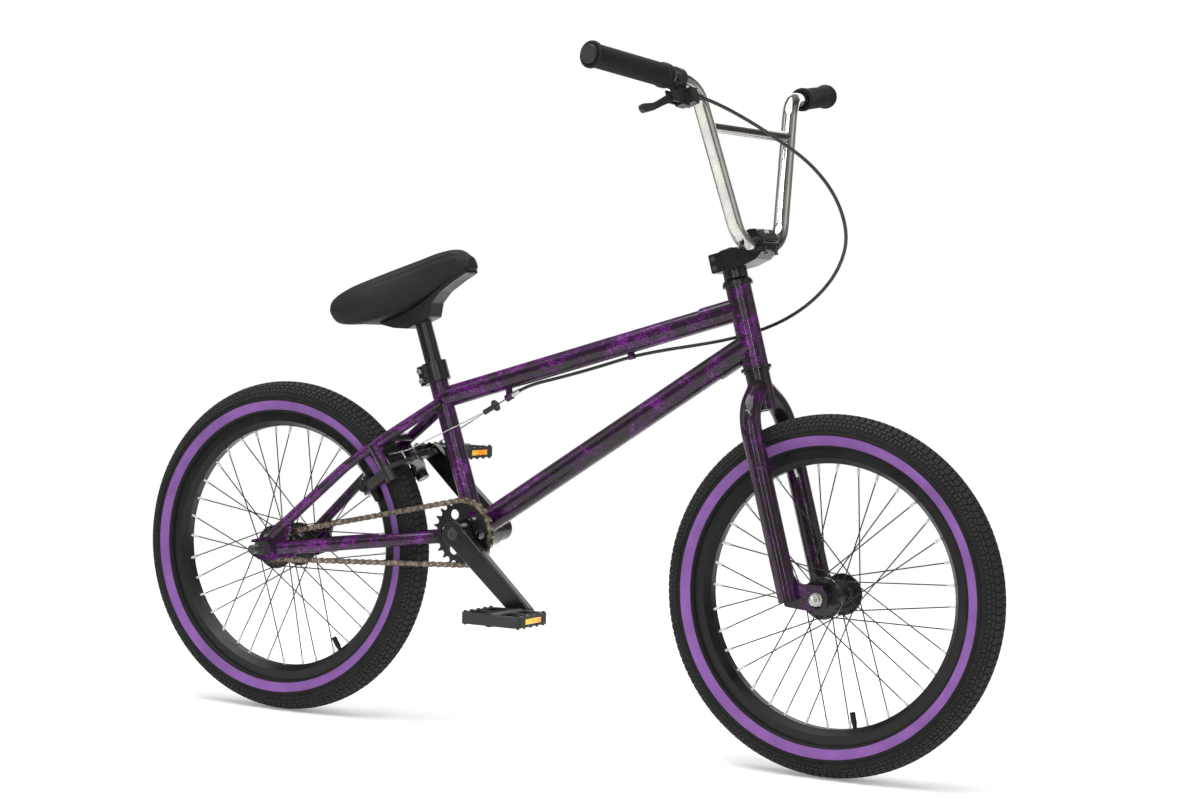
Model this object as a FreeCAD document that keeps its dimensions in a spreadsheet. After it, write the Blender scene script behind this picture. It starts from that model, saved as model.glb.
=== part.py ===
"""A 20 inch freestyle bicycle, modelled piece by piece.

Frame of the model: +X forward, +Y to the rider's left, +Z up, millimetres.  The origin is on the
ground, midway between the two axles.
"""

import FreeCAD, Part
import math
import os
import re

import Sketcher

V = FreeCAD.Vector
UP = V(0, 0, 1)
LEFT = V(0, 1, 0)

doc = FreeCAD.newDocument("BmxBike")

# --------------------------------------------------------------------------------------------
# Driving dimensions, in millimetres and degrees
# --------------------------------------------------------------------------------------------

DIMENSIONS = {
    # overall geometry
    "wheelbase": 936.4,
    "tyre_radius": 257.5,
    "head_angle": 73.9,
    "fork_rake": 40.4,
    "crank_axle_height": 306,
    "seat_angle": 70.7,
    # wheels
    "tyre_section": 28.4,
    "tyre_wall": 4.6,
    "rim_width": 34,
    "rim_flange_radius": 209.5,
    "rim_seat_radius": 203,
    "rim_inner_radius": 188,
    "rim_wall": 1.8,
    "tube_wall": 1.5,
    "tube_gap": 1.2,
    "valve_radius": 3.2,
    "spoke_count": 36,
    "spoke_radius": 0.9,
    "spoke_lead": 3,
    "nipple_radius": 2,
    "nipple_length": 12,
    "front_flange_radius": 30,
    "front_flange_place": 34,
    "rear_flange_radius": 34,
    "rear_flange_place": 31,
    "flange_thickness": 3.4,
    "flange_hole_inset": 3.6,
    "hub_barrel_radius": 16,
    "front_axle_radius": 4.76,
    "rear_axle_radius": 7,
    "front_hub_width": 100,
    "rear_hub_width": 110,
    "bearing_clearance": 0.05,
    "side_gap": 0.4,
    # drive
    "chain_pitch": 12.7,
    "chain_links": 72,
    "sprocket_teeth": 24,
    "driver_teeth": 9,
    "roller_radius": 3.875,
    "tooth_clearance": 0.3,
    "tooth_thickness": 2.9,
    "chain_line": 41.5,
    "chain_inner_width": 3.4,
    "chain_plate": 1.05,
    "chain_plate_height": 8.6,
    "crank_length": 165,
    "crank_slope": 41.5,
    "crank_inner": 46,
    "crank_outer": 71,
    "crank_boss_radius": 19,
    "crank_arm_thickness": 14,
    "pedal_boss_radius": 14,
    "spindle_radius": 9.5,
    "pedal_length": 98,
    "pedal_width": 92,
    "pedal_height": 21,
    "pedal_axle_radius": 5,
    "pedal_gap": 4,
    # frame
    "shell_radius": 25,
    "shell_width": 73,
    "shell_bore": 20.6,
    "head_tube_radius": 18.4,
    "head_tube_bore": 17,
    "head_tube_bottom": 342,
    "head_tube_length": 119,
    "cup_height": 4.6,
    "cup_radius": 22,
    "cup_insert": 12,
    "top_tube_radius": 15.9,
    "top_tube_head": 427.7,
    "top_tube_seat": 208.7,
    "down_tube_radius": 18,
    "down_tube_head": 375.7,
    "down_tube_drop": 4,
    "seat_tube_radius": 14.3,
    "seat_post_radius": 12.7,
    "seat_tube_length": 264,
    "tube_wall_thickness": 1.4,
    "gusset_thickness": 2.2,
    "gusset_length": 46,
    "chainstay_radius": 10,
    "seatstay_radius": 8,
    "stay_wall": 1.3,
    "dropout_thickness": 6,
    "front_dropout_thickness": 5.5,
    "stay_shell_place": 26,
    "stay_tyre_place": 44.5,
    "stay_axle_place": 57,
    "seatstay_slope": 35.6,
    "seatstay_offset": 31,
    "clamp_height": 30,
    "clamp_wall": 5,
    # fork and steering
    "steerer_radius": 14.3,
    "steerer_wall": 2.4,
    "steerer_bottom": 278,
    "crown_radius": 17.4,
    "leg_radius": 15,
    "leg_wall": 1.8,
    "leg_place": 59,
    "leg_bottom": 6,
    "spacer_height": 18.6,
    "spacer_radius": 17.5,
    "stem_height": 27.5,
    "stem_width": 50,
    "stem_rear": 24.5,
    "stem_reach": 47.6,
    "bar_radius": 11.1,
    "bar_wall": 2,
    "bar_lift": 26.1,
    "bar_flat_half": 64.8,
    "bar_rise": 214.4,
    "bar_lean": 28,
    "bar_knee_half": 154.5,
    "grip_end_half": 374,
    "grip_drop": -36.5,
    "grip_rise": 34.2,
    "bar_bend_radius": 46,
    "crossbar_radius": 8,
    "crossbar_share": 0.745,
    "grip_length": 160,
    "grip_radius": 16,
    "plug_length": 5,
    # brake
    "brake_pivot": 248,
    "brake_pivot_half": 43,
    "pad_radius_place": 200,
    "pad_drop": 16,
    "pad_gap": 2.2,
    "pad_thickness": 9.5,
    "arm_thickness": 7,
    "cable_radius": 2.5,
    "wire_radius": 0.9,
    # saddle
    "saddle_tilt": 21,
    "seat_post_length": 190,
}

sheet = doc.addObject("Spreadsheet::Sheet", "Sizes")
for row, (alias, value) in enumerate(DIMENSIONS.items(), start=1):
    sheet.set(f"A{row}", alias)
    sheet.set(f"B{row}", str(value))
    sheet.setAlias(f"B{row}", alias)
doc.recompute()


def size(alias):
    """One driving dimension, read from the sheet."""
    return float(sheet.get(alias))


def bound(text):
    """A formula in plain dimension names, written as the sheet's own expression."""
    return re.sub(r"[a-z][a-z0-9_]*", lambda m: f"Sizes.{m[0]}" if m[0] in DIMENSIONS else m[0], text)


def worth(text):
    """The number that a formula in plain dimension names gives now."""
    return float(sheet.evalExpression(bound(text)))


# --------------------------------------------------------------------------------------------
# Places that several pieces share
# --------------------------------------------------------------------------------------------


def pitch_radius(teeth):
    return size("chain_pitch") / (2 * math.sin(math.pi / teeth))


def chain_stretches(distance):
    """Half the wrap angle round the sprocket, and the links counted at the end of each stretch:
    round the sprocket, along the lower run, round the driver and along the upper run."""
    big = size("sprocket_teeth")
    small = size("driver_teeth")
    step = pitch_radius(big) - pitch_radius(small)
    half_wrap = math.acos(-step / distance)
    run = math.sqrt(distance**2 - step**2) / size("chain_pitch")
    after_sprocket = half_wrap / math.pi * big
    after_driver = after_sprocket + run + (1 - half_wrap / math.pi) * small
    return half_wrap, after_sprocket, after_sprocket + run, after_driver, after_driver + run


def centre_distance():
    """Axle to crank axle, so that a chain of whole links closes round both toothed wheels."""
    distance = size("chain_links") * size("chain_pitch") / 2
    for _ in range(40):
        distance -= (chain_stretches(distance)[-1] - size("chain_links")) * size("chain_pitch") / 2
    return distance


LEAN = 90 - size("head_angle")
SEAT_LEAN = 90 - size("seat_angle")
REAR_AXLE = V(-size("wheelbase") / 2, 0, size("tyre_radius"))
FRONT_AXLE = V(size("wheelbase") / 2, 0, size("tyre_radius"))
FORWARD_OF_FORK = V(math.cos(math.radians(LEAN)), 0, math.sin(math.radians(LEAN)))
FORK = FreeCAD.Placement(FRONT_AXLE - FORWARD_OF_FORK * size("fork_rake"), FreeCAD.Rotation(LEFT, -LEAN))
CRANK_RISE = size("crank_axle_height") - REAR_AXLE.z
CRANK_AXLE = REAR_AXLE + V(math.sqrt(centre_distance() ** 2 - CRANK_RISE**2), 0, CRANK_RISE)
SEAT = FreeCAD.Placement(CRANK_AXLE, FreeCAD.Rotation(LEFT, -SEAT_LEAN))
BRAKE = FreeCAD.Placement(REAR_AXLE, FreeCAD.Rotation(LEFT, -size("seatstay_slope")))
CRANK = FreeCAD.Placement(CRANK_AXLE, FreeCAD.Rotation(LEFT, size("crank_slope")))


def on_axle(centre):
    """A placement whose Z is the model's +Y, for what turns about a wheel or crank axle."""
    return FreeCAD.Placement(centre, FreeCAD.Rotation(V(1, 0, 0), -90))


def sideways(placement):
    """The same frame turned so that its Z lies along its own +Y."""
    return placement.multiply(FreeCAD.Placement(V(), FreeCAD.Rotation(V(1, 0, 0), -90)))


# --------------------------------------------------------------------------------------------
# Ways of making pieces
# --------------------------------------------------------------------------------------------

NODES = []


def node(item, label):
    """Marks a document object as one named piece of the bicycle."""
    item.Label = label
    NODES.append(item)
    return item


def body_plane(body, role):
    return next(f for f in body.Origin.OriginFeatures if f.Role == role)


def draw(body, role, name, loops):
    """A sketch of closed straight-sided loops, each corner tied to the sheet by its two distances."""
    sketch = body.newObject("Sketcher::SketchObject", name)
    sketch.AttachmentSupport = [(body_plane(body, role), "")]
    sketch.MapMode = "FlatFace"
    for loop in loops:
        first = sketch.GeometryCount
        spots = [V(worth(u), worth(w), 0) for u, w in loop]
        for i, spot in enumerate(spots):
            sketch.addGeometry(Part.LineSegment(spot, spots[(i + 1) % len(spots)]), False)
        for i, (u, w) in enumerate(loop):
            line = first + i
            following = first + (i + 1) % len(loop)
            sketch.addConstraint(Sketcher.Constraint("Coincident", line, 2, following, 1))
            for kind, text, number in (("DistanceX", u, spots[i].x), ("DistanceY", w, spots[i].y)):
                place = sketch.addConstraint(Sketcher.Constraint(kind, -1, 1, line, 1, number))
                if re.search(r"[a-z]", text):
                    sketch.setExpression(f"Constraints[{place}]", bound(text))
    return sketch


def turned(label, placement, *loops):
    """A body revolved about its own Z from loops of (radius, height) formulas."""
    body = doc.addObject("PartDesign::Body", label)
    body.Placement = placement
    sketch = draw(body, "XZ_Plane", f"{label}_section", loops)
    spin = body.newObject("PartDesign::Revolution", f"{label}_turn")
    spin.Profile = sketch
    spin.ReferenceAxis = (sketch, ["V_Axis"])
    spin.Angle = 360
    return body


def cylinder(label, radius, start, end):
    """A solid cylinder between two points; its radius is a formula."""
    item = doc.addObject("Part::Cylinder", label)
    item.setExpression("Radius", bound(radius))
    item.Height = (end - start).Length
    item.Placement = FreeCAD.Placement(start, FreeCAD.Rotation(UP, end - start))
    return item


def cut(label, base, *tools):
    """The base with every tool taken away, one cut after another."""
    for number, tool in enumerate(tools, start=1):
        item = doc.addObject("Part::Cut", label if number == len(tools) else f"{label}_{number}")
        item.Base = base
        item.Tool = tool
        base = item
    return base


def group(label, *items):
    """Separate solids kept together in one piece of the list."""
    item = doc.addObject("Part::Compound", label)
    item.Links = list(items)
    return item


def mirrored(label, source):
    """The same piece on the other side of the bicycle."""
    item = doc.addObject("Part::Mirroring", label)
    item.Source = source
    item.Normal = LEFT
    return item


def both_sides(label, source):
    return group(label, source, mirrored(f"{label}_other", source))


def feature(label, shape, placement=None):
    """A piece whose shape Part's own functions made."""
    item = doc.addObject("Part::Feature", label)
    item.Shape = shape
    if placement is not None:
        item.Placement = placement.multiply(shape.Placement)
    return item


def arc_corner(before, corner, after, radius):
    """Where a corner's arc starts, its middle, and where it ends."""
    to_before = (before - corner).normalize()
    to_after = (after - corner).normalize()
    half = to_before.getAngle(to_after) / 2
    reach = radius / math.tan(half)
    middle = (to_before + to_after).normalize() * (radius / math.sin(half) - radius)
    return corner + to_before * reach, corner + middle, corner + to_after * reach


def rounded_path(points, radii):
    """Straight runs joined by tangent arcs, one radius for each inner point."""
    edges = []
    here = points[0]
    for i, radius in enumerate(radii, start=1):
        start, middle, end = arc_corner(points[i - 1], points[i], points[i + 1], radius)
        edges.append(Part.LineSegment(here, start).toShape())
        edges.append(Part.Arc(start, middle, end).toShape())
        here = end
    edges.append(Part.LineSegment(here, points[-1]).toShape())
    return Part.Wire(edges)


def rod(points, radii, radius):
    """A round rod along a rounded path."""
    path = rounded_path(points, radii)
    section = Part.Wire(Part.makeCircle(radius, points[0], points[1] - points[0]))
    return path.makePipeShell([section], True, False)


def bent_tube(points, radii, radius, wall):
    return rod(points, radii, radius).cut(rod(points, radii, radius - wall))


def cord_radii(points):
    """As large an arc at each inner point as its two runs leave room for."""
    radii = []
    for before, corner, after in zip(points, points[1:], points[2:]):
        shorter = min((corner - before).Length, (after - corner).Length)
        turn = (corner - before).getAngle(after - corner)
        radii.append(0.45 * shorter / math.tan(turn / 2))
    return radii


def rounded_outline(corners, radius):
    """A flat closed face in XY whose corners are all rounded alike."""
    edges = []
    ends = []
    count = len(corners)
    for i in range(count):
        ends.append(arc_corner(corners[i - 1], corners[i], corners[(i + 1) % count], radius))
    for i in range(count):
        start, middle, end = ends[i]
        edges.append(Part.Arc(start, middle, end).toShape())
        edges.append(Part.LineSegment(end, ends[(i + 1) % count][0]).toShape())
    return Part.Face(Part.Wire(edges))


def bar_between(a, b, radius_a, radius_b, height, base):
    """A flat link with round ends of two radii, padded along Z from base."""
    along = b - a
    tilt = math.acos((radius_a - radius_b) / along.Length)
    heading = math.atan2(along.y, along.x)
    corners = []
    for centre, radius in ((a, radius_a), (b, radius_b)):
        for side in (tilt, -tilt):
            angle = heading + side
            corners.append(centre + V(math.cos(angle), math.sin(angle), 0) * radius)
    back = a - V(math.cos(heading), math.sin(heading), 0) * radius_a
    front = b + V(math.cos(heading), math.sin(heading), 0) * radius_b
    edges = [
        Part.Arc(corners[0], back, corners[1]).toShape(),
        Part.LineSegment(corners[1], corners[3]).toShape(),
        Part.Arc(corners[3], front, corners[2]).toShape(),
        Part.LineSegment(corners[2], corners[0]).toShape(),
    ]
    flat = Part.Face(Part.Wire(edges))
    flat.translate(V(0, 0, base))
    return flat.extrude(V(0, 0, height))


# --------------------------------------------------------------------------------------------
# Frame
# --------------------------------------------------------------------------------------------


def on_fork(x, y, height):
    return FORK.multVec(V(x, y, height))


def on_seat(height):
    return SEAT.multVec(V(0, 0, height))


HEAD_TOP = "head_tube_bottom + head_tube_length"
STEM_BOTTOM = f"{HEAD_TOP} + cup_height + spacer_height"
BAR_CENTRE = f"{STEM_BOTTOM} + bar_lift"
TOP_TUBE_FRONT = on_fork(0, 0, size("top_tube_head"))
TOP_TUBE_REAR = on_seat(size("top_tube_seat"))
DOWN_TUBE_FRONT = on_fork(0, 0, size("down_tube_head"))
DOWN_TUBE_REAR = CRANK_AXLE + UP * size("down_tube_drop")
SHELL_HALF = size("shell_width") / 2
DROPOUT_INNER = size("rear_hub_width") / 2


def ring(label, placement, inner, outer, low, high):
    """A plain tube or washer, its radii and heights given as formulas."""
    return turned(label, placement, [(inner, low), (outer, low), (outer, high), (inner, high)])


def straight_tube(label, radius, start, end, *others):
    """A tube between two points, mitred where the others cross it."""
    outside = cylinder(f"{label}_outside", radius, start, end)
    inside = cylinder(f"{label}_inside", f"{radius} - tube_wall_thickness", start, end)
    return cut(label, outside, inside, *others)


def solid_of(label, radius, start, end, extra=40):
    """The full cylinder of another tube, long enough to cut a mitre with."""
    along = (end - start).normalize() * extra
    return cylinder(label, radius, start - along, end + along)


def frame_tubes():
    head_solid = solid_of("head_solid", "head_tube_radius", on_fork(0, 0, 300), on_fork(0, 0, 500), 0)
    seat_solid = solid_of("seat_solid", "seat_tube_radius", CRANK_AXLE, on_seat(300), 0)
    shell_solid = solid_of("shell_solid", "shell_radius", CRANK_AXLE - LEFT * 60, CRANK_AXLE + LEFT * 60, 0)
    top_solid = solid_of("top_solid", "top_tube_radius", TOP_TUBE_REAR, TOP_TUBE_FRONT, 0)
    down_solid = solid_of("down_solid", "down_tube_radius", DOWN_TUBE_REAR, DOWN_TUBE_FRONT, 0)

    node(ring("head_tube", FORK, "head_tube_bore", "head_tube_radius", "head_tube_bottom", HEAD_TOP), "head_tube")
    node(
        ring(
            "bottom_bracket_shell",
            on_axle(CRANK_AXLE),
            "shell_bore",
            "shell_radius",
            "-shell_width / 2",
            "shell_width / 2",
        ),
        "bottom_bracket_shell",
    )
    seat_tube = ring(
        "seat_tube_whole", SEAT, "seat_post_radius + bearing_clearance", "seat_tube_radius", "0", "seat_tube_length"
    )
    node(cut("seat_tube", seat_tube, shell_solid), "seat_tube")
    top_tube = straight_tube(
        "top_tube_plain", "top_tube_radius", TOP_TUBE_REAR, TOP_TUBE_FRONT, head_solid, seat_solid
    )
    down_tube = straight_tube(
        "down_tube_plain", "down_tube_radius", DOWN_TUBE_REAR, DOWN_TUBE_FRONT, head_solid, shell_solid, seat_solid
    )
    top_gusset = half_sleeve(
        "top_gusset", "top_tube_radius", TOP_TUBE_FRONT, TOP_TUBE_REAR, 1, head_solid, down_solid
    )
    down_gusset = half_sleeve(
        "down_gusset", "down_tube_radius", DOWN_TUBE_FRONT, DOWN_TUBE_REAR, -1, head_solid, top_solid
    )
    top_tube = cut("top_tube_mitred", top_tube, down_solid)
    node(group("top_tube", top_tube, top_gusset, *cable_stop()), "top_tube")
    node(group("down_tube", down_tube, down_gusset), "down_tube")
    return shell_solid, seat_solid


def half_sleeve(label, radius, start, towards, side, *others):
    """A sleeve plate over one side of a tube: side is 1 for its upper half and -1 for its lower."""
    along = (towards - start).normalize()
    finish = start + along * (size("gusset_length") + size("head_tube_radius"))
    sleeve = cylinder(f"{label}_sleeve", f"{radius} + gusset_thickness", start, finish)
    core = cylinder(f"{label}_core", radius, start, finish)
    reach = 120
    block = doc.addObject("Part::Box", f"{label}_block")
    block.Length = reach
    block.Width = reach
    block.Height = reach
    across = along.cross(LEFT)
    if across.z * side < 0:
        across = across * -1
    # the block covers the half of the tube that the plate leaves bare
    turn = FreeCAD.Rotation(along, along.cross(across), across * -1, "XYZ")
    block.Placement = FreeCAD.Placement(start - along * 20, turn).multiply(
        FreeCAD.Placement(V(0, -reach / 2, 0), FreeCAD.Rotation())
    )
    return cut(label, sleeve, core, block, *others)


def chainstay_points():
    """Centre line of the right chainstay: from the shell, past the tyre, to the dropout."""
    tyre_front = REAR_AXLE.x + size("tyre_radius")
    behind_sprocket = CRANK_AXLE.x - pitch_radius(size("sprocket_teeth")) - 7
    start = V(CRANK_AXLE.x, -size("stay_shell_place"), CRANK_AXLE.z - 4)
    finish = V(REAR_AXLE.x + 26, -size("stay_axle_place"), REAR_AXLE.z + 1)
    bends = [
        V(behind_sprocket, -size("stay_shell_place") - 2, 0),
        V(tyre_front - 18, -size("stay_tyre_place"), 0),
        V(tyre_front - 90, -size("stay_tyre_place") - 1, 0),
    ]
    for bend in bends:
        bend.z = start.z + (finish.z - start.z) * (bend.x - start.x) / (finish.x - start.x)
    return [start, *bends, finish]


def seatstay_points():
    """Centre line of the right seatstay, in the brake's frame: X up the stay, Z away from the tyre."""
    offset = size("seatstay_offset")
    top = BRAKE.inverse().multVec(TOP_TUBE_REAR)
    return [
        V(20, -size("stay_axle_place") - 1, 10),
        V(190, -size("stay_tyre_place") + 1, offset),
        V(262, -size("stay_tyre_place") + 7, offset),
        V(top.x, -12, offset),
    ]


def stays(shell_solid, seat_solid):
    radius = size("chainstay_radius")
    chainstay = bent_tube(chainstay_points(), [120, 110, 250], radius, size("stay_wall"))
    right = feature("chainstay_whole", chainstay)
    dropout = feature("dropout_slot", rear_dropout(0), sideways_plate())
    right = cut("chainstay_right", right, shell_solid, dropout, seat_solid)
    plate = feature("dropout_right", rear_dropout(1), sideways_plate())
    left = (mirrored("chainstay_left", right), mirrored("dropout_left", plate))
    node(group("chainstays", right, plate, *left), "chainstays")

    points = seatstay_points()
    thin = size("seatstay_radius")
    stay = feature("seatstay_whole", bent_tube(points, [150, 90], thin, size("stay_wall")), BRAKE)
    top_solid = solid_of("top_solid_for_stays", "top_tube_radius", TOP_TUBE_REAR, TOP_TUBE_FRONT, 0)
    stay = cut("seatstay_right", stay, seat_solid, dropout, top_solid)
    bridge_place = 268
    half = size("stay_tyre_place") - 7 - 3
    bridge = cylinder(
        "bridge_whole", "seatstay_radius - 1", BRAKE.multVec(V(bridge_place, -half, size("seatstay_offset"))),
        BRAKE.multVec(V(bridge_place, half, size("seatstay_offset"))),
    )
    bridge = cut("seatstay_bridge", bridge, stay, mirrored("seatstay_left_for_bridge", stay))
    boss_low = -size("pad_drop") + size("arm_thickness")
    boss = brake_post("brake_post_right", boss_low, stay)
    node(
        group("seatstays", stay, mirrored("seatstay_left", stay), bridge, boss, mirrored("brake_post_left", boss)),
        "seatstays",
    )


def brake_post(label, low, stay):
    """The stud under a seatstay that one brake arm turns on."""
    place = V(size("brake_pivot"), -size("brake_pivot_half"), 0)
    high = size("seatstay_offset")
    shoulder = Part.makeCylinder(9, high - low - 0.3, place + UP * (low + 0.3), UP)
    stud = Part.makeCylinder(4, high - low + 26, place + UP * (low - 24), UP)
    whole = feature(f"{label}_whole", shoulder.fuse(stud), BRAKE)
    hollow = feature(f"{label}_room", rod(seatstay_points(), [150, 90], size("seatstay_radius")), BRAKE)
    return cut(label, whole, hollow)


def sideways_plate():
    """The frame of the right dropout: X forward, Y down, Z to the left, at its outer face."""
    return on_axle(REAR_AXLE - LEFT * (DROPOUT_INNER + size("dropout_thickness")))


def rear_dropout(spare):
    """The slotted plate that holds one end of the rear axle, its slot open to the rear."""
    corners = [V(-26, 12, 0), V(-26, -11, 0), V(12, -20, 0), V(34, -43, 0), V(46, -34, 0), V(40, -12, 0)]
    corners += [V(56, -10, 0), V(56, 10, 0), V(34, 12, 0), V(16, 19, 0), V(-10, 19, 0)]
    plate = rounded_outline(corners, 4).extrude(UP * size("dropout_thickness"))
    if spare:
        width = 2 * (size("rear_axle_radius") + 0.1)
        slot = Part.makeBox(60, width, 20, V(-60, -width / 2, -5))
        eye = Part.makeCylinder(width / 2, 20, V(0, 0, -5))
        plate = plate.cut(slot.fuse(eye))
    return plate


def headset():
    """The two pressed cups, each with its cartridge bearing round the steerer."""
    cups = []
    bearings = []
    for name, face, up in (("lower", "head_tube_bottom", "-"), ("upper", HEAD_TOP, "+")):
        down = "+" if up == "-" else "-"
        cups.append(
            turned(
                f"{name}_cup",
                FORK,
                [
                    ("head_tube_bore", face),
                    ("cup_radius", face),
                    ("cup_radius", f"{face} {up} cup_height"),
                    ("cup_radius - 1.8", f"{face} {up} cup_height"),
                    ("cup_radius - 1.8", f"{face} {up} 0.8"),
                    ("head_tube_bore - 1.4", f"{face} {up} 0.8"),
                    ("head_tube_bore - 1.4", f"{face} {down} cup_insert"),
                    ("head_tube_bore", f"{face} {down} cup_insert"),
                ],
            )
        )
        bearings.append(
            ring(
                f"{name}_bearing",
                FORK,
                "steerer_radius + bearing_clearance",
                "cup_radius - 1.8",
                f"{face} {up} 0.8",
                f"{face} {up} cup_height",
            )
        )
    node(group("headset_cups", *cups), "headset_cups")
    return bearings


def bearings():
    """The sealed bearings that the frame holds: two for the steerer, two for the crank spindle."""
    crank = ring(
        "crank_bearing",
        on_axle(CRANK_AXLE),
        "spindle_radius + bearing_clearance",
        "shell_bore",
        "shell_width / 2 - 7",
        "shell_width / 2",
    )
    other = mirrored("crank_bearing_left", crank)
    node(group("sealed_bearings", crank, other, *headset()), "sealed_bearings")


NUT_WASHER = 2


def hexagon(across):
    """Corners of a hexagon, its flats a given distance apart."""
    reach = across / math.sqrt(3)
    return [V(reach * math.cos(k * math.pi / 3), reach * math.sin(k * math.pi / 3), 0) for k in range(6)]


def axle_nut(across, bore, washer, height, base):
    """A flanged hexagon nut along Z, from base outward."""
    corners = hexagon(across)
    nut = Part.Face(Part.makePolygon(corners + corners[:1])).extrude(UP * height)
    nut.translate(UP * (base + washer))
    round_off = Part.makeCone(across / 2 + height, across / 2, height + 1, V(0, 0, base + washer))
    flange = Part.makeCylinder(across / 2 + 2, washer, V(0, 0, base))
    return nut.common(round_off).fuse(flange).cut(Part.makeCylinder(bore, 200, V(0, 0, base - 5)))


def axles():
    """Both wheel axles with their cones, and the nuts that clamp them in the dropouts."""
    for end, centre, dropout, tip, across, high in (
        ("rear", REAR_AXLE, size("dropout_thickness"), 96, 19, 15),
        ("front", FRONT_AXLE, size("front_dropout_thickness"), 73, 15, 7),
    ):
        radius = f"{end}_axle_radius"
        half = f"{end}_hub_width / 2"
        base = size(f"{end}_hub_width") / 2 + dropout
        nut_end = base + NUT_WASHER + high
        axle = turned(
            f"{end}_axle",
            on_axle(centre),
            [
                ("0", f"-{tip}"),
                (f"{radius} - 1", f"-{tip}"),
                (radius, f"1 - {tip}"),
                (radius, f"-{nut_end + 1}"),
                (f"{radius} - 0.4", f"-{nut_end + 1}"),
                (f"{radius} - 0.4", f"-{nut_end}"),
                (radius, f"-{nut_end}"),
                (radius, f"-({half})"),
                (f"{radius} + 5", f"-({half})"),
                (f"{radius} + 5", f"5 - {half}"),
                (radius, f"5 - {half}"),
                (radius, f"{half} - 5"),
                (f"{radius} + 5", f"{half} - 5"),
                (f"{radius} + 5", half),
                (radius, half),
                (radius, str(nut_end)),
                (f"{radius} - 0.4", str(nut_end)),
                (f"{radius} - 0.4", f"{nut_end + 1}"),
                (radius, f"{nut_end + 1}"),
                (radius, f"{tip} - 1"),
                (f"{radius} - 1", str(tip)),
                ("0", str(tip)),
            ],
        )
        node(axle, f"{end}_axle")
        nut = feature(f"{end}_nut", axle_nut(across, size(radius), NUT_WASHER, high, base), on_axle(centre))
        node(both_sides(f"{end}_axle_nuts", nut), f"{end}_axle_nuts")


# --------------------------------------------------------------------------------------------
# Wheels
# --------------------------------------------------------------------------------------------


def tyre_shape():
    """Round carcass with a bead on each side hooked in the rim, turned about Z."""
    middle = size("tyre_radius") - size("tyre_section")
    outer = size("tyre_section")
    inner = outer - size("tyre_wall")
    bead_out = size("rim_width") / 2 - size("rim_wall") - 0.2
    bead_in = bead_out - 3.5
    over_flange = size("rim_flange_radius") + 0.4
    over_seat = size("rim_seat_radius") + 0.3
    flange_room = Part.makeCylinder(over_flange, outer, V(0, 0, bead_out))
    other_flange_room = Part.makeCylinder(over_flange, outer, V(0, 0, -bead_out - outer))
    seat_room = Part.makeCylinder(over_seat, 2 * outer, V(0, 0, -outer))
    mouth = Part.makeCylinder(middle - 8, 2 * bead_in, V(0, 0, -bead_in))
    air = Part.makeTorus(middle, inner)
    carcass = Part.makeTorus(middle, outer)
    return carcass.cut([air, flange_room.fuse([other_flange_room, seat_room, mouth])])


def inner_tube_shape(valve_angle):
    """The air tube inside the tyre with its valve, which leaves through the rim."""
    middle = size("tyre_radius") - size("tyre_section")
    outer = size("tyre_section") - size("tyre_wall") - size("tube_gap")
    ring_solid = Part.makeTorus(middle, outer).cut(Part.makeTorus(middle, outer - size("tube_wall")))
    base = middle - outer + size("tube_wall") / 2
    valve = Part.makeCylinder(size("valve_radius"), base - size("rim_inner_radius") + 6, V(base, 0, 0), V(-1, 0, 0))
    cap_top = size("rim_inner_radius") - 6
    cap = Part.makeCylinder(size("valve_radius") + 0.8, 17, V(cap_top, 0, 0), V(-1, 0, 0))
    cap = cap.makeFillet(1.2, [e for e in cap.Edges if abs(e.CenterOfMass.x - cap_top + 17) < 0.1])
    whole = ring_solid.fuse([valve, cap])
    whole.rotate(V(), UP, valve_angle)
    return whole


def rim(label, centre, valve_angle):
    """A double-wall rim turned from its section, with the valve's hole."""
    seat = "rim_width / 2 - rim_wall"
    side = [
        ("rim_inner_radius", "7"),
        ("rim_inner_radius + 8", "rim_width / 2"),
        ("rim_flange_radius", "rim_width / 2"),
        ("rim_flange_radius", seat),
        ("rim_seat_radius", seat),
        ("rim_seat_radius - 1", f"{seat} - 4"),
        ("rim_seat_radius - 4", f"{seat} - 8"),
    ]
    room = [
        ("rim_inner_radius + rim_wall", "6"),
        ("rim_inner_radius + 9", f"{seat}"),
        ("rim_seat_radius - 2", f"{seat}"),
        ("rim_seat_radius - 3", f"{seat} - 4"),
        ("rim_seat_radius - 6", f"{seat} - 8"),
    ]
    loops = [points + [(r, f"-({h})") for r, h in reversed(points)] for points in (side, room)]
    whole = turned(f"{label}_whole", on_axle(centre), *loops)
    turn = math.radians(valve_angle)
    away = V(math.cos(turn), 0, -math.sin(turn))
    hole = cylinder(f"{label}_valve_hole", "valve_radius + 0.2", centre + away * 150, centre + away * 230)
    return cut(label, whole, hole)


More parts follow.
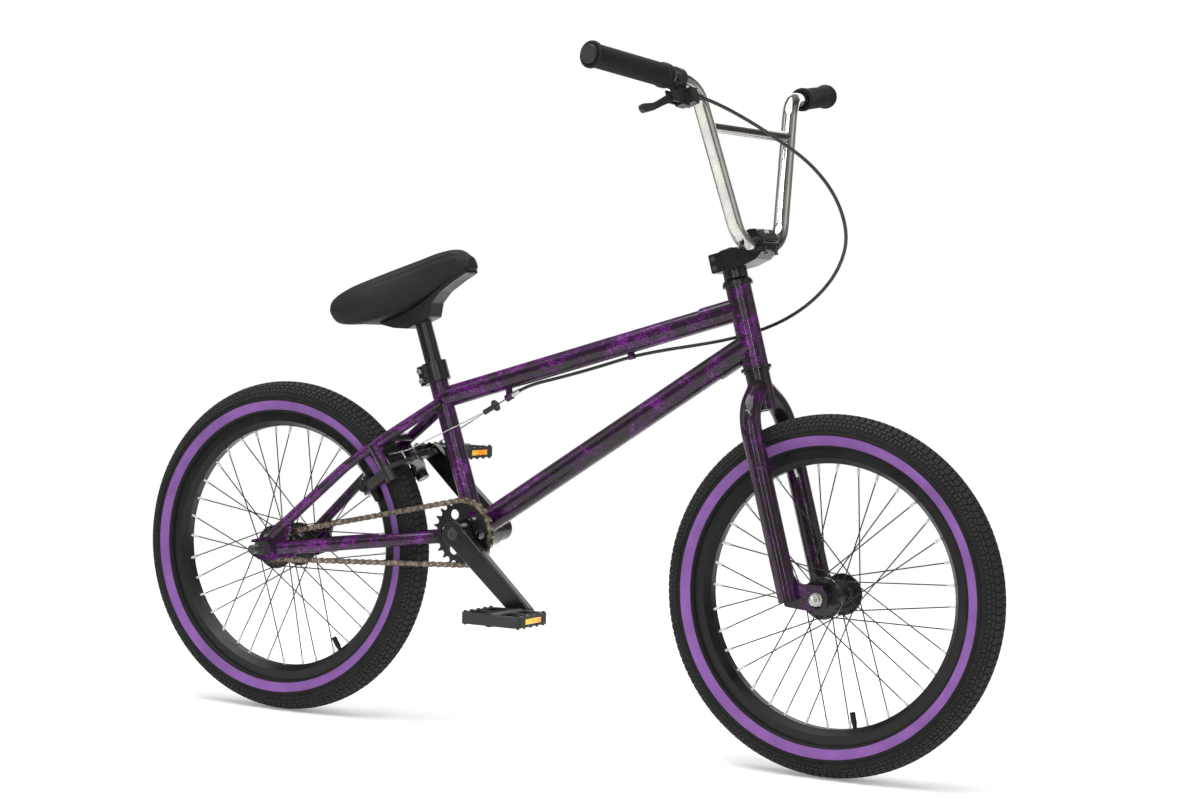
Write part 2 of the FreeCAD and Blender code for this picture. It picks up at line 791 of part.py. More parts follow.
def spokes_shape(flange_radius, flange_place):
    """Crossed spokes with elbows in the flanges, and a nipple on each at the rim."""
    per_side = int(size("spoke_count") / 2)
    step = 2 * math.pi / per_side
    lead = size("spoke_lead") * step
    hole_radius = flange_radius - size("flange_hole_inset")
    end_radius = size("rim_inner_radius") - size("nipple_length")
    close = size("flange_thickness") / 2 + size("spoke_radius") + 0.15
    solids = []
    for side in (1, -1):
        for parity, stand_off in ((1, close + 1.8), (-1, close)):
            plane = side * flange_place + side * parity * stand_off
            hub_end = V(hole_radius * math.cos(parity * lead), hole_radius * math.sin(parity * lead), plane)
            rim_end = V(end_radius, 0, side * 4)
            along = rim_end - hub_end
            spoke = Part.makeCylinder(size("spoke_radius"), along.Length, hub_end, along)
            inward = V(0, 0, -side * parity)
            elbow = Part.makeCylinder(size("spoke_radius"), 2 * stand_off + 0.8, hub_end, inward)
            head_place = hub_end + inward * (2 * stand_off)
            head = Part.makeCylinder(2 * size("spoke_radius"), 1, head_place, inward)
            spoke = spoke.fuse([elbow, Part.makeSphere(size("spoke_radius"), hub_end), head])
            nipple = Part.makeCylinder(size("nipple_radius"), size("nipple_length") + 6, rim_end, along)
            nipple = nipple.common(Part.makeCylinder(size("rim_inner_radius") - 0.02, 60, V(0, 0, -30)))
            first = 0 if parity == 1 else 1
            offset = 0 if side == 1 else step / 2
            for k in range(first, per_side, 2):
                for piece in (spoke, nipple):
                    copy = piece.copy()
                    copy.rotate(V(), UP, math.degrees(k * step + offset))
                    solids.append(copy)
    return Part.makeCompound(solids)


def hub(label, centre, end, right_end):
    """A flanged shell with a hole in each flange for every spoke; the right end may stop short."""
    bore = f"{end}_axle_radius + bearing_clearance"
    half = f"{end}_hub_width / 2 - 5 - side_gap"
    place = f"{end}_flange_place"
    flange = f"{end}_flange_radius"
    out = f"{place} + flange_thickness / 2"
    inn = f"{place} - flange_thickness / 2"
    nose = f"{end}_axle_radius + 8"
    outline = [
        (bore, f"-({right_end})"),
        (nose, f"-({right_end})"),
        (nose, f"-({out})"),
        (flange, f"-({out})"),
        (flange, f"-({inn})"),
        ("hub_barrel_radius + 4", f"-({inn})"),
        ("hub_barrel_radius", f"8 - ({inn})"),
        ("hub_barrel_radius", f"{inn} - 8"),
        ("hub_barrel_radius + 4", inn),
        (flange, inn),
        (flange, out),
        (nose, out),
        (nose, half),
        (bore, half),
        (bore, f"{half} - 9"),
        ("hub_barrel_radius - 3", f"{half} - 11"),
        ("hub_barrel_radius - 3", f"13 - ({right_end})"),
        (bore, f"11 - ({right_end})"),
    ]
    whole = turned(f"{label}_whole", on_axle(centre), outline)
    holes = []
    per_side = int(size("spoke_count") / 2)
    for k in range(2 * per_side):
        turn = math.pi * k / per_side
        side = 1 if k % 2 == 0 else -1
        radius = size(flange) - size("flange_hole_inset")
        start = V(radius * math.cos(turn), radius * math.sin(turn), side * size(place) - 4)
        holes.append(Part.makeCylinder(size("spoke_radius") + 0.3, 8, start, UP))
    drilled = feature(f"{label}_holes", Part.makeCompound(holes), on_axle(centre))
    return cut(label, whole, drilled)


def wheel(end, centre, valve_angle, right_end):
    node(feature(f"{end}_tyre", tyre_shape(), on_axle(centre)), f"{end}_tyre")
    tube_shape = inner_tube_shape(valve_angle)
    node(feature(f"{end}_inner_tube", tube_shape, on_axle(centre)), f"{end}_inner_tube")
    node(rim(f"{end}_rim", centre, valve_angle), f"{end}_rim")
    laced = spokes_shape(size(f"{end}_flange_radius"), size(f"{end}_flange_place"))
    node(feature(f"{end}_spokes", laced, on_axle(centre)), f"{end}_spokes")
    node(hub(f"{end}_hub", centre, end, right_end), f"{end}_hub")


# --------------------------------------------------------------------------------------------
# Drive
# --------------------------------------------------------------------------------------------


def toothed_face(teeth, phase):
    """The outline of a chain wheel: a round seat for each roller and a blunt tooth between."""
    radius = pitch_radius(teeth)
    seat = size("roller_radius") + size("tooth_clearance")
    step = 2 * math.pi / teeth
    tip = radius + 0.24 * size("chain_pitch")
    tip_half = 0.7 / tip
    wrap = math.radians(64)
    edges = []
    previous = None
    first = None
    for k in range(teeth):
        turn = phase + k * step
        out = V(math.cos(turn), math.sin(turn), 0)
        side = V(-out.y, out.x, 0)
        centre = out * radius
        start = centre - out * seat * math.cos(wrap) - side * seat * math.sin(wrap)
        end = centre - out * seat * math.cos(wrap) + side * seat * math.sin(wrap)
        before = turn - step / 2 + tip_half
        after = turn + step / 2 - tip_half
        tip_before = V(math.cos(before), math.sin(before), 0) * tip
        tip_after = V(math.cos(after), math.sin(after), 0) * tip
        if previous is None:
            first = tip_before
        else:
            edges.append(Part.LineSegment(previous, tip_before).toShape())
        edges.append(Part.LineSegment(tip_before, start).toShape())
        edges.append(Part.Arc(start, centre - out * seat, end).toShape())
        edges.append(Part.LineSegment(end, tip_after).toShape())
        previous = tip_after
    edges.append(Part.LineSegment(previous, first).toShape())
    return Part.Face(Part.Wire(edges))


def drive_angles():
    """The slope from axle to crank, and the first roller's angle on each wheel, in the XZ plane."""
    slope = math.atan2(CRANK_RISE, CRANK_AXLE.x - REAR_AXLE.x)
    half_wrap, _, at_driver, _, _ = chain_stretches(centre_distance())
    on_sprocket = slope + half_wrap
    ahead = math.ceil(at_driver) - at_driver
    on_driver = slope - half_wrap - ahead * 2 * math.pi / size("driver_teeth")
    return slope, half_wrap, on_sprocket, on_driver


def sprocket():
    _, _, phase, _ = drive_angles()
    teeth = int(size("sprocket_teeth"))
    thick = size("tooth_thickness")
    face = toothed_face(teeth, -phase)
    plate = face.extrude(UP * thick)
    plate.translate(UP * (-size("chain_line") - thick / 2))
    radius = pitch_radius(teeth)
    windows = []
    for k in range(6):
        turn = k * math.pi / 3
        centre = V(math.cos(turn), math.sin(turn), 0) * (radius * 0.63) + UP * (-size("chain_line") - 10)
        windows.append(Part.makeCylinder(radius * 0.155, 30, centre))
    boss_start = -size("crank_inner")
    boss = Part.makeCylinder(17, size("crank_inner") - SHELL_HALF - 1, V(0, 0, boss_start))
    whole = plate.cut(Part.makeCompound(windows)).fuse(boss)
    whole = whole.cut(Part.makeCylinder(size("spindle_radius"), 200, V(0, 0, -100)))
    guard_bolt = V(math.cos(math.radians(30)), math.sin(math.radians(30)), 0) * (radius * 0.63)
    whole = whole.fuse(Part.makeCylinder(4, 8, guard_bolt + UP * (-size("crank_inner"))))
    node(feature("sprocket", whole, on_axle(CRANK_AXLE)), "sprocket")


def driver():
    """The small toothed wheel on the rear axle with its bearing sleeve, beside the hub shell."""
    _, _, _, phase = drive_angles()
    thick = size("tooth_thickness")
    face = toothed_face(int(size("driver_teeth")), -phase)
    plate = face.extrude(UP * thick)
    plate.translate(UP * (-size("chain_line") - thick / 2))
    outer_end = DROPOUT_INNER - 5 - size("side_gap")
    inner_end = size("rear_flange_place") + size("flange_thickness") / 2 + 0.6
    sleeve = Part.makeCylinder(12.6, outer_end - inner_end, V(0, 0, -outer_end))
    whole = plate.fuse(sleeve)
    bore = size("rear_axle_radius") + size("bearing_clearance")
    whole = whole.cut(Part.makeCylinder(bore, 200, V(0, 0, -100)))
    node(feature("rear_driver", whole, on_axle(REAR_AXLE)), "rear_driver")


def chain_joint(count):
    """The place of one chain pin, in the plane of the chain."""
    slope, half_wrap, _, _ = drive_angles()
    _, after_sprocket, at_driver, after_driver, closed = chain_stretches(centre_distance())
    along = count * closed / size("chain_links")
    big = size("sprocket_teeth")
    small = size("driver_teeth")

    def spot(centre, teeth, angle):
        return centre + V(math.cos(angle), 0, math.sin(angle)) * pitch_radius(teeth)

    if along <= after_sprocket:
        return spot(CRANK_AXLE, big, slope + half_wrap - along * 2 * math.pi / big)
    if along <= at_driver:
        start = spot(CRANK_AXLE, big, slope - half_wrap)
        end = spot(REAR_AXLE, small, slope - half_wrap)
        return start + (end - start) * ((along - after_sprocket) / (at_driver - after_sprocket))
    if along <= after_driver:
        return spot(REAR_AXLE, small, slope - half_wrap - (along - at_driver) * 2 * math.pi / small)
    start = spot(REAR_AXLE, small, slope + half_wrap)
    end = spot(CRANK_AXLE, big, slope + half_wrap)
    return start + (end - start) * ((along - after_driver) / (closed - after_driver))


def link(inner):
    """One link along X from the origin, its plates in the XZ plane."""
    pitch = size("chain_pitch")
    plate_radius = size("chain_plate_height") / 2
    gap = size("chain_inner_width") / 2
    thick = size("chain_plate")
    pin = 1.8
    low = gap if inner else gap + thick + 0.1
    plate = bar_between(V(), V(pitch, 0, 0), plate_radius, plate_radius, thick, low)
    other = plate.mirror(V(), UP)
    ends = [V(0, 0, 0), V(pitch, 0, 0)]
    if inner:
        barrels = [Part.makeCylinder(size("roller_radius"), 2 * gap, e - UP * gap) for e in ends]
        bores = [Part.makeCylinder(pin + 0.05, 20, e - UP * 10) for e in ends]
        whole = plate.fuse([other] + barrels).cut(Part.makeCompound(bores))
    else:
        reach = low + thick + 0.5
        pins = [Part.makeCylinder(pin, 2 * reach, e - UP * reach) for e in ends]
        whole = plate.fuse([other] + pins)
    whole.rotate(V(), V(1, 0, 0), 90)
    return whole


def chain():
    count = int(size("chain_links"))
    kinds = (link(True), link(False))
    solids = []
    for k in range(count):
        here = chain_joint(k)
        ahead = chain_joint(k + 1) if k + 1 < count else chain_joint(0)
        along = ahead - here
        piece = kinds[k % 2].copy()
        tilt = -math.degrees(math.atan2(along.z, along.x))
        piece.Placement = FreeCAD.Placement(
            here - LEFT * size("chain_line"), FreeCAD.Rotation(LEFT, tilt)
        ).multiply(piece.Placement)
        solids.append(piece)
    node(feature("chain", Part.makeCompound(solids)), "chain")


def crank_arm(label, side):
    """One crank: a boss on the spindle, a flat arm and an eye for the pedal's axle."""
    base = size("crank_outer") - size("crank_arm_thickness")
    start = V()
    end = V(size("crank_length"), 0, 0)
    arm = bar_between(start, end, 17, size("pedal_boss_radius"), size("crank_arm_thickness"), base)
    boss = Part.makeCylinder(size("crank_boss_radius"), size("crank_outer") - size("crank_inner"), UP * size("crank_inner"))
    rim_edges = [e for e in boss.Edges if abs(e.CenterOfMass.z - size("crank_outer")) < 0.1 and e.Closed]
    boss = boss.makeFillet(2, rim_edges)
    arm = arm.makeFillet(3, [e for e in arm.Edges if abs(e.CenterOfMass.z - size("crank_outer")) < 0.1])
    whole = arm.fuse(boss)
    whole = whole.cut(Part.makeCylinder(size("spindle_radius"), 200))
    whole = whole.cut(Part.makeCylinder(7, 200, end))
    if side < 0:
        whole.rotate(V(), V(1, 0, 0), 180)
        whole.rotate(V(), UP, 0)
        place = sideways(CRANK)
    else:
        whole.rotate(V(), UP, 180)
        place = sideways(CRANK)
    return node(feature(label, whole, place), label)


def pedal_place(side):
    """Where the pedal's axle meets the outer face of its crank; Z points out along the axle."""
    reach = size("crank_length") * (1 if side < 0 else -1)
    eye = CRANK.multVec(V(reach, 0, 0)) + LEFT * (side * size("crank_outer"))
    return FreeCAD.Placement(eye, FreeCAD.Rotation(V(1, 0, 0), -90 * side))


def pedal_axle(label, side):
    tip = "pedal_gap + pedal_width - 3"
    return turned(
        label,
        pedal_place(side),
        [
            ("0", "-crank_arm_thickness"),
            ("7", "-crank_arm_thickness"),
            ("7", "0"),
            ("9", "0"),
            ("9", "pedal_gap - side_gap"),
            ("pedal_axle_radius", "pedal_gap - side_gap"),
            ("pedal_axle_radius", tip),
            ("0", tip),
        ],
    )


def pedal_shape():
    """A platform cage round a barrel, along Z from the crank outward; its tread faces are +-Y."""
    long = size("pedal_length")
    wide = size("pedal_width")
    high = size("pedal_height")
    barrel_radius = 10
    low = size("pedal_gap")
    half = long / 2
    corners = [V(-half, low, 0), V(-half, low + wide, 0), V(half, low + wide, 0), V(half, low, 0)]
    cage = rounded_outline(corners, 12).extrude(UP * (high - 5))
    cage.translate(UP * (-(high - 5) / 2))
    cage.rotate(V(), V(1, 0, 0), 90)
    rail = 9
    rooms = []
    for side in (1, -1):
        for start, end in ((low + 9, low + wide / 2 - 3), (low + wide / 2 + 3, low + wide - 9)):
            xs = sorted((side * (barrel_radius + 3), side * (half - rail)))
            rooms.append(Part.makeBox(xs[1] - xs[0], 60, end - start, V(xs[0], -30, start)))
    cage = cage.cut(Part.makeCompound(rooms))
    barrel = Part.makeCylinder(barrel_radius, wide - 3, UP * (low + 1))
    cage = cage.fuse(barrel)
    for side in (1, -1):
        pocket = Part.makeBox(3, 8.4, 44.4, V(side * half - (3 if side > 0 else 0), -4.2, low + wide / 2 - 22.2))
        cage = cage.cut(pocket)
    studs = []
    for side in (1, -1):
        for k in range(5):
            place = low + 10 + k * (wide - 20) / 4
            for up in (1, -1):
                foot = V(side * (half - rail / 2), up * (high - 5) / 2 - up * 1, place)
                studs.append(Part.makeCone(3, 2, 3.5, foot, V(0, up, 0)))
    cage = cage.fuse(studs)
    bore = Part.makeCylinder(
        size("pedal_axle_radius") + size("bearing_clearance"), wide - 2, UP * (low - 1)
    )
    return cage.cut(bore)


def reflectors_shape():
    """The amber blocks set in the front and rear rails of one pedal."""
    long = size("pedal_length")
    low = size("pedal_gap") + size("pedal_width") / 2
    blocks = []
    for side in (1, -1):
        for half_place, width in ((-22, 21.9), (0.1, 21.9)):
            corner = V(side * long / 2 - (2.9 if side > 0 else 0), -4, low + half_place)
            blocks.append(Part.makeBox(2.9, 8, width, corner))
    return Part.makeCompound(blocks)


def crankset():
    node(ring("crank_spindle", on_axle(CRANK_AXLE), "3", "spindle_radius", "2 - crank_outer", "crank_outer - 2"), "crank_spindle")
    bolt = turned(
        "crank_bolt",
        on_axle(CRANK_AXLE),
        [
            ("0", "crank_outer - 14"),
            ("3", "crank_outer - 14"),
            ("3", "crank_outer - 2"),
            ("spindle_radius - 0.5", "crank_outer - 2"),
            ("spindle_radius - 0.5", "crank_outer + 1"),
            ("4", "crank_outer + 1"),
            ("4", "crank_outer - 0.5"),
            ("0", "crank_outer - 0.5"),
        ],
    )
    node(both_sides("crank_bolts", bolt), "crank_bolts")
    crank_arm("crank_right", -1)
    crank_arm("crank_left", 1)
    sprocket()
    node(group("pedal_axles", pedal_axle("pedal_axle_right", -1), pedal_axle("pedal_axle_left", 1)), "pedal_axles")
    for name, side in (("right", -1), ("left", 1)):
        node(feature(f"pedal_{name}", pedal_shape(), pedal_place(side)), f"pedal_{name}")
        node(feature(f"pedal_reflectors_{name}", reflectors_shape(), pedal_place(side)), f"pedal_reflectors_{name}")


# --------------------------------------------------------------------------------------------
# Fork, stem and handlebar, in the fork's frame: Z up the steerer, X forward
# --------------------------------------------------------------------------------------------


def side_slab(corners, radius, low, high):
    """A plate whose rounded outline lies in XZ, from Y = low to Y = high."""
    flat = rounded_outline([V(x, z, 0) for x, z in corners], radius)
    flat.rotate(V(), V(1, 0, 0), 90)
    flat.translate(V(0, low, 0))
    return flat.extrude(V(0, high - low, 0))


def leg_points():
    """Centre line of the right fork leg, from inside the crown to the dropout."""
    crown = size("steerer_bottom") + 36
    place = size("leg_place")
    return [V(0, -4, crown), V(0, -place, crown - 38), V(0, -place, size("leg_bottom"))]


def front_dropout(slotted):
    """The plate at the foot of the right leg that holds the front axle ahead of the steering axis."""
    rake = size("fork_rake")
    inner = size("front_hub_width") / 2
    corners = [(-10, 46), (9, 46), (22, 26), (rake + 12, 17), (rake + 17, 2), (rake + 13, -14)]
    corners += [(rake - 14, -14), (-10, 0)]
    plate = side_slab(corners, 4, -inner - size("front_dropout_thickness"), -inner)
    if slotted:
        width = 2 * (size("front_axle_radius") + 0.1)
        slot = Part.makeBox(width, 20, 40, V(rake - width / 2, -inner - 12, -40))
        eye = Part.makeCylinder(width / 2, 20, V(rake, -inner - 12, 0), LEFT)
        plate = plate.cut(slot.fuse(eye))
    return plate


def fork():
    steerer_top = worth(BAR_CENTRE) + 0.7
    crown_top = "head_tube_bottom - cup_height - side_gap"
    steerer = turned(
        "steerer",
        FORK,
        [
            ("steerer_radius - steerer_wall", "steerer_bottom"),
            ("crown_radius", "steerer_bottom"),
            ("crown_radius", f"{crown_top} - 3"),
            ("crown_radius + 1.6", f"{crown_top} - 3"),
            ("crown_radius + 1.6", crown_top),
            ("steerer_radius", crown_top),
            ("steerer_radius", str(steerer_top)),
            ("steerer_radius - steerer_wall", str(steerer_top)),
        ],
    )
    node(steerer, "steerer")
    crown = cylinder("crown_solid", "crown_radius", on_fork(0, 0, 240), on_fork(0, 0, 340))
    leg = feature("leg_whole", bent_tube(leg_points(), [58], size("leg_radius"), size("leg_wall")), FORK)
    room = feature("dropout_room", front_dropout(False), FORK)
    leg = cut("leg_right", leg, crown, room)
    plate = feature("front_dropout_right", front_dropout(True), FORK)
    left = (mirrored("leg_left", leg), mirrored("front_dropout_left", plate))
    node(group("fork_legs", leg, plate, *left), "fork_legs")


def headset_spacers():
    """The bearing cover and the spacer between the upper cup and the stem."""
    low = f"{HEAD_TOP} + cup_height + side_gap"
    step = f"{low} + 6"
    cover = turned(
        "headset_cover",
        FORK,
        [
            ("steerer_radius", low),
            ("cup_radius - 1", low),
            ("cup_radius - 1", f"{low} + 2"),
            ("spacer_radius", step),
            ("steerer_radius", step),
        ],
    )
    spacer = ring("headset_spacer", FORK, "steerer_radius", "spacer_radius", step, STEM_BOTTOM)
    node(group("headset_spacers", cover, spacer), "headset_spacers")


def stem():
    """A top-load stem: a block clamped on the steerer, a cap over the bar, six bolts and a top cap."""
    low = worth(STEM_BOTTOM)
    high = low + size("stem_height")
    bar = worth(BAR_CENTRE)
    reach = size("stem_reach")
    half = size("stem_width") / 2
    shank_radius = 2.5
    bolt_place = size("bar_radius") + shank_radius + 0.6
    edge = bolt_place + 4.3
    block_corners = [(-size("stem_rear"), low), (26, low), (reach, low + 4), (reach + edge - 3.5, low + 14)]
    block_corners += [(reach + edge, bar - 0.6), (24, bar - 0.6), (22, high), (-size("stem_rear"), high)]
    cap_corners = [(reach - edge + 0.5, bar + 0.6), (reach + edge, bar + 0.6), (reach + edge - 1.5, bar + 12)]
    cap_corners += [(reach + 9, bar + 20), (reach, bar + 21.6), (reach - 9, bar + 20), (reach - edge + 1.5, bar + 12)]
    bar_hole = Part.makeCylinder(size("bar_radius"), 200, V(reach, -100, bar), LEFT)
    steerer_hole = Part.makeCylinder(size("steerer_radius"), 100, V(0, 0, low - 20))
    bolts = []
    holes = []
    sockets = []
    for x in (reach - bolt_place, reach + bolt_place):
        for y in (-half + 8, half - 8):
            shank = Part.makeCylinder(shank_radius, bar + 12 - low - 7, V(x, y, low + 7))
            head = Part.makeCylinder(4, 5, V(x, y, bar + 12))
            socket = Part.makeCylinder(2, 4, V(x, y, bar + 14))
            bolts.append(shank.fuse(head).cut(socket))
            holes.append(Part.makeCylinder(shank_radius, 60, V(x, y, low + 7)))
            sockets.append(Part.makeCylinder(4.3, 30, V(x, y, bar + 12)))
    for z in (low + 7, high - 7):
        shank = Part.makeCylinder(shank_radius, 2 * half - 8, V(-size("stem_rear") + 5.5, -half + 4, z), LEFT)
        head = Part.makeCylinder(4, 4, V(-size("stem_rear") + 5.5, -half, z), LEFT)
        bolts.append(shank.fuse(head))
    holes = Part.makeCompound(holes)
    block = side_slab(block_corners, 2.5, -half, half).cut(bar_hole).cut(steerer_hole)
    block = block.cut(Part.makeCompound(bolts)).cut(holes)
    cap = side_slab(cap_corners, 2.5, -half, half).cut(bar_hole).cut(holes).cut(Part.makeCompound(sockets))
    node(feature("stem", block, FORK), "stem")
    node(feature("stem_cap", cap, FORK), "stem_cap")
    node(feature("stem_bolts", Part.makeCompound(bolts), FORK), "stem_bolts")
    top = Part.makeCylinder(16.5, 3, V(0, 0, high)).fuse(Part.makeCylinder(4.5, 2.5, V(0, 0, high + 3)))
    node(feature("steerer_cap", top, FORK), "steerer_cap")


def bar_points():
    """Centre line of the handlebar, from its right end to its left."""
    reach = size("stem_reach")
    low = worth(BAR_CENTRE)
    knee = V(reach + size("bar_lean"), size("bar_knee_half"), low + size("bar_rise"))
    end = V(knee.x + size("grip_drop"), size("grip_end_half"), knee.z + size("grip_rise"))
    flat = V(reach, size("bar_flat_half"), low)
    left = [flat, knee, end]
    right = [V(p.x, -p.y, p.z) for p in reversed(left)]
    return right + left


def handlebar():
    points = bar_points()
    radii = [size("bar_bend_radius")] * 4
    bar = bent_tube(points, radii, size("bar_radius"), size("bar_wall"))
    bar = feature("bar_tube", bar, FORK)
    whole = feature("bar_whole", rod(points, radii, size("bar_radius")), FORK)
    flat, knee = points[3], points[4]
    place = flat + (knee - flat) * size("crossbar_share")
    left = FORK.multVec(place)
    brace = cylinder("crossbar_whole", "crossbar_radius", V(left.x, -left.y, left.z), left)
    node(group("handlebar", bar, cut("crossbar", brace, whole)), "handlebar")
    knee, end = points[4], points[5]
    inward = (knee - end).normalize()
    grip_place = FORK.multiply(FreeCAD.Placement(end, FreeCAD.Rotation(UP, inward)))
    radius = "grip_radius"
    grip = turned(
        "grip_left",
        grip_place,
        [
            ("bar_radius", "0"),
            (f"{radius} + 2.5", "0"),
            (f"{radius} + 2.5", "6"),
            (f"{radius}", "9"),
            (f"{radius}", "grip_length - 12"),
            (f"{radius} + 1.5", "grip_length - 9"),
            (f"{radius} + 1.5", "grip_length"),
            ("bar_radius", "grip_length"),
        ],
    )
    node(both_sides("grips", grip), "grips")
    plug = turned(
        "bar_plug_left",
        grip_place,
        [
            ("0", "-plug_length"),
            ("bar_radius + 1", "-plug_length"),
            ("bar_radius + 2", "-2"),
            ("bar_radius + 2", "0"),
            ("bar_radius - bar_wall", "0"),
            ("bar_radius - bar_wall - 0.3", "22"),
            ("0", "22"),
        ],
    )
    node(both_sides("bar_plugs", plug), "bar_plugs")


# --------------------------------------------------------------------------------------------
# Rear brake: lever, cable, yoke, straddle wires and the two arms
# --------------------------------------------------------------------------------------------


def lever_frame():
    """On the bar beside the right grip: Z out along the grip, X down to the lever, Y forward."""
    end, knee = bar_points()[:2]
    out = (end - knee).normalize()
    place = knee + out * 44.5
    down = V(0.088, 0, -0.996)
    across = out.cross(down).normalize()
    down = across.cross(out)
    return FORK.multiply(FreeCAD.Placement(place, FreeCAD.Rotation(down, across, out, "ZXY")))


LEVER = lever_frame()
LEVER_PIVOT = V(30, 0, 17)
CABLE_MOUTH = V(26, 12, -34)
PIVOT_PIN = 2.5


def lever_bracket():
    """The clamp and bracket of the brake lever, with the pivot pin and the cable's adjuster."""
    band = Part.makeCylinder(16, 13, V(0, 0, -6.5))
    arm = Part.makeBox(32, 12, 17, V(8, -6, -12))
    arm = arm.fuse(Part.makeBox(22, 20, 14, V(16, -4, -22)))
    cheeks = Part.makeBox(18, 11, 26, V(20, -5.5, -3))
    cheeks = cheeks.cut(Part.makeBox(40, 6.4, 40, V(10, -3.2, 4)))
    cheeks = cheeks.fuse(Part.makeCylinder(7, 2.3, LEVER_PIVOT + V(0, -5.5, 0), LEFT))
    cheeks = cheeks.fuse(Part.makeCylinder(7, 2.3, LEVER_PIVOT + V(0, 3.2, 0), LEFT))
    barrel = Part.makeCylinder(4.5, 13, V(CABLE_MOUTH.x, CABLE_MOUTH.y, CABLE_MOUTH.z), UP)
    whole = band.fuse([arm, cheeks, barrel])
    whole = whole.cut(Part.makeCylinder(size("bar_radius"), 60, V(0, 0, -30)))
    whole = whole.cut(Part.makeCylinder(1.2, 40, CABLE_MOUTH - UP, UP))
    whole = whole.cut(Part.makeCylinder(PIVOT_PIN, 30, LEVER_PIVOT - LEFT * 15, LEFT))
    pin = Part.makeCylinder(PIVOT_PIN, 11, LEVER_PIVOT - LEFT * 5.5, LEFT)
    node(feature("lever_bracket", Part.makeCompound([whole, pin]), LEVER), "lever_bracket")


def brake_lever():
    """The blade: a boss on the pin, a gentle curve outward below the grip and a square tip."""
    thick = 5.8
    spots = [V(LEVER_PIVOT.x, LEVER_PIVOT.z, 0), V(42, 42, 0), V(53, 64, 0), V(60, 88, 0)]
    widths = [6.2, 5, 4.6, 6]
    pieces = []
    for i in range(len(spots) - 1):
        pieces.append(bar_between(spots[i], spots[i + 1], widths[i], widths[i + 1], thick, -thick / 2))
    blade = pieces[0].fuse(pieces[1:])
    blade.rotate(V(), V(1, 0, 0), 90)
    bore = Part.makeCylinder(PIVOT_PIN + size("bearing_clearance"), 30, LEVER_PIVOT - LEFT * 15, LEFT)
    node(feature("brake_lever", blade.cut(bore), LEVER), "brake_lever")


def cable_run():
    """The line of the inner wire at the rear: where it leaves the frame's stop, and its direction."""
    place = V(-72, 0, 511.3)
    direction = V(math.cos(math.radians(31)), 0, math.sin(math.radians(31)))
    return place, direction


def cable_points():
    """The housing's route: from the lever, round in front of the head tube to its left side and
    along the underside of the top tube."""
    stop, direction = cable_run()
    start = LEVER.multVec(CABLE_MOUTH - UP * 0.3)
    inward = LEVER.Rotation.multVec(V(0, 0, -1))
    return [
        start,
        start + inward * 26 + V(3, 0, -2),
        V(364, -116, 918),
        V(405, -98, 891),
        V(444, -76, 861),
        V(473, -50, 817),
        V(480, -22, 764),
        V(458, 2, 719),
        V(418, 23, 679),
        V(368, 38, 647),
        V(318, 45, 626),
        V(274, 36, 612),
        V(232, 19, 602),
        V(186, 6, 593),
        V(133, 0, 581),
        V(75, 0, 562),
        V(16, 0, 544.8),
        stop + direction * 36,
        stop + direction * 16,
    ]


def brake_cable():
    points = cable_points()
    radii = cord_radii(points)
    housing = rod(points, radii, size("cable_radius"))
    length = rounded_path(points, radii).Length
    print("brake cable radii", [round(r, 1) for r in radii], "length", round(length, 1))
    print("brake cable volume", round(housing.Volume), round(length * math.pi * size("cable_radius") ** 2))
    node(feature("brake_cable", housing), "brake_cable")


def along(place, direction):
    """A placement whose Z runs from a place in a direction."""
    return FreeCAD.Placement(place, FreeCAD.Rotation(UP, direction))


def cable_stop():
    """The stop and the clip brazed under the top tube."""
    stop, direction = cable_run()
    top_solid = solid_of("top_solid_for_stop", "top_tube_radius", TOP_TUBE_REAR, TOP_TUBE_FRONT, 0)
    boss = Part.makeCylinder(5.6, 11, stop - direction * 6, direction)
    web = Part.makeBox(9, 5, 22, V(-4.5, -2.5, 0))
    web.Placement = FreeCAD.Placement(stop, FreeCAD.Rotation(LEFT, -8))
    boss = boss.fuse(web).cut(Part.makeCylinder(3, 40, stop - direction * 2, direction))
    boss = boss.cut(Part.makeCylinder(1.5, 40, stop - direction * 20, direction))
    boss = boss.cut(Part.makeCylinder(4.4, 40, stop + direction * 5.6, direction))
    boss = cut("stop_boss", feature("stop_boss_whole", boss), top_solid)
    before, clip_place, after = cable_points()[13:16]
    tube_line = (before - after).normalize()
    clip = Part.makeCylinder(4.6, 9, clip_place - tube_line * 4.5, tube_line)
    lug = Part.makeBox(9, 4, 12, V(-4.5, -2, 0))
    lug.Placement = FreeCAD.Placement(clip_place, FreeCAD.Rotation(LEFT, -17))
    clip = clip.fuse(lug).cut(Part.makeCylinder(size("cable_radius") + 0.8, 60, clip_place - tube_line * 30, tube_line))
    clip = cut("cable_clip", feature("cable_clip_whole", clip), top_solid)
    return boss, clip


def barrel_adjuster():
    """The hollow screw in the stop that takes the end of the housing."""
    stop, direction = cable_run()
    barrel = turned(
        "barrel_adjuster",
        along(stop, direction),
        [
            ("1.5", "-2"),
            ("3", "-2"),
            ("3", "6"),
            ("4", "6"),
            ("4", "12"),
            ("3.4", "12"),
            ("3.4", "20"),
            ("cable_radius + 0.2", "20"),
            ("cable_radius + 0.2", "16"),
            ("1.5", "16"),
        ],
    )
    node(barrel, "barrel_adjuster")


YOKE_BACK = 30.3


def yoke_place():
    stop, direction = cable_run()
    return along(stop - direction * YOKE_BACK, direction)


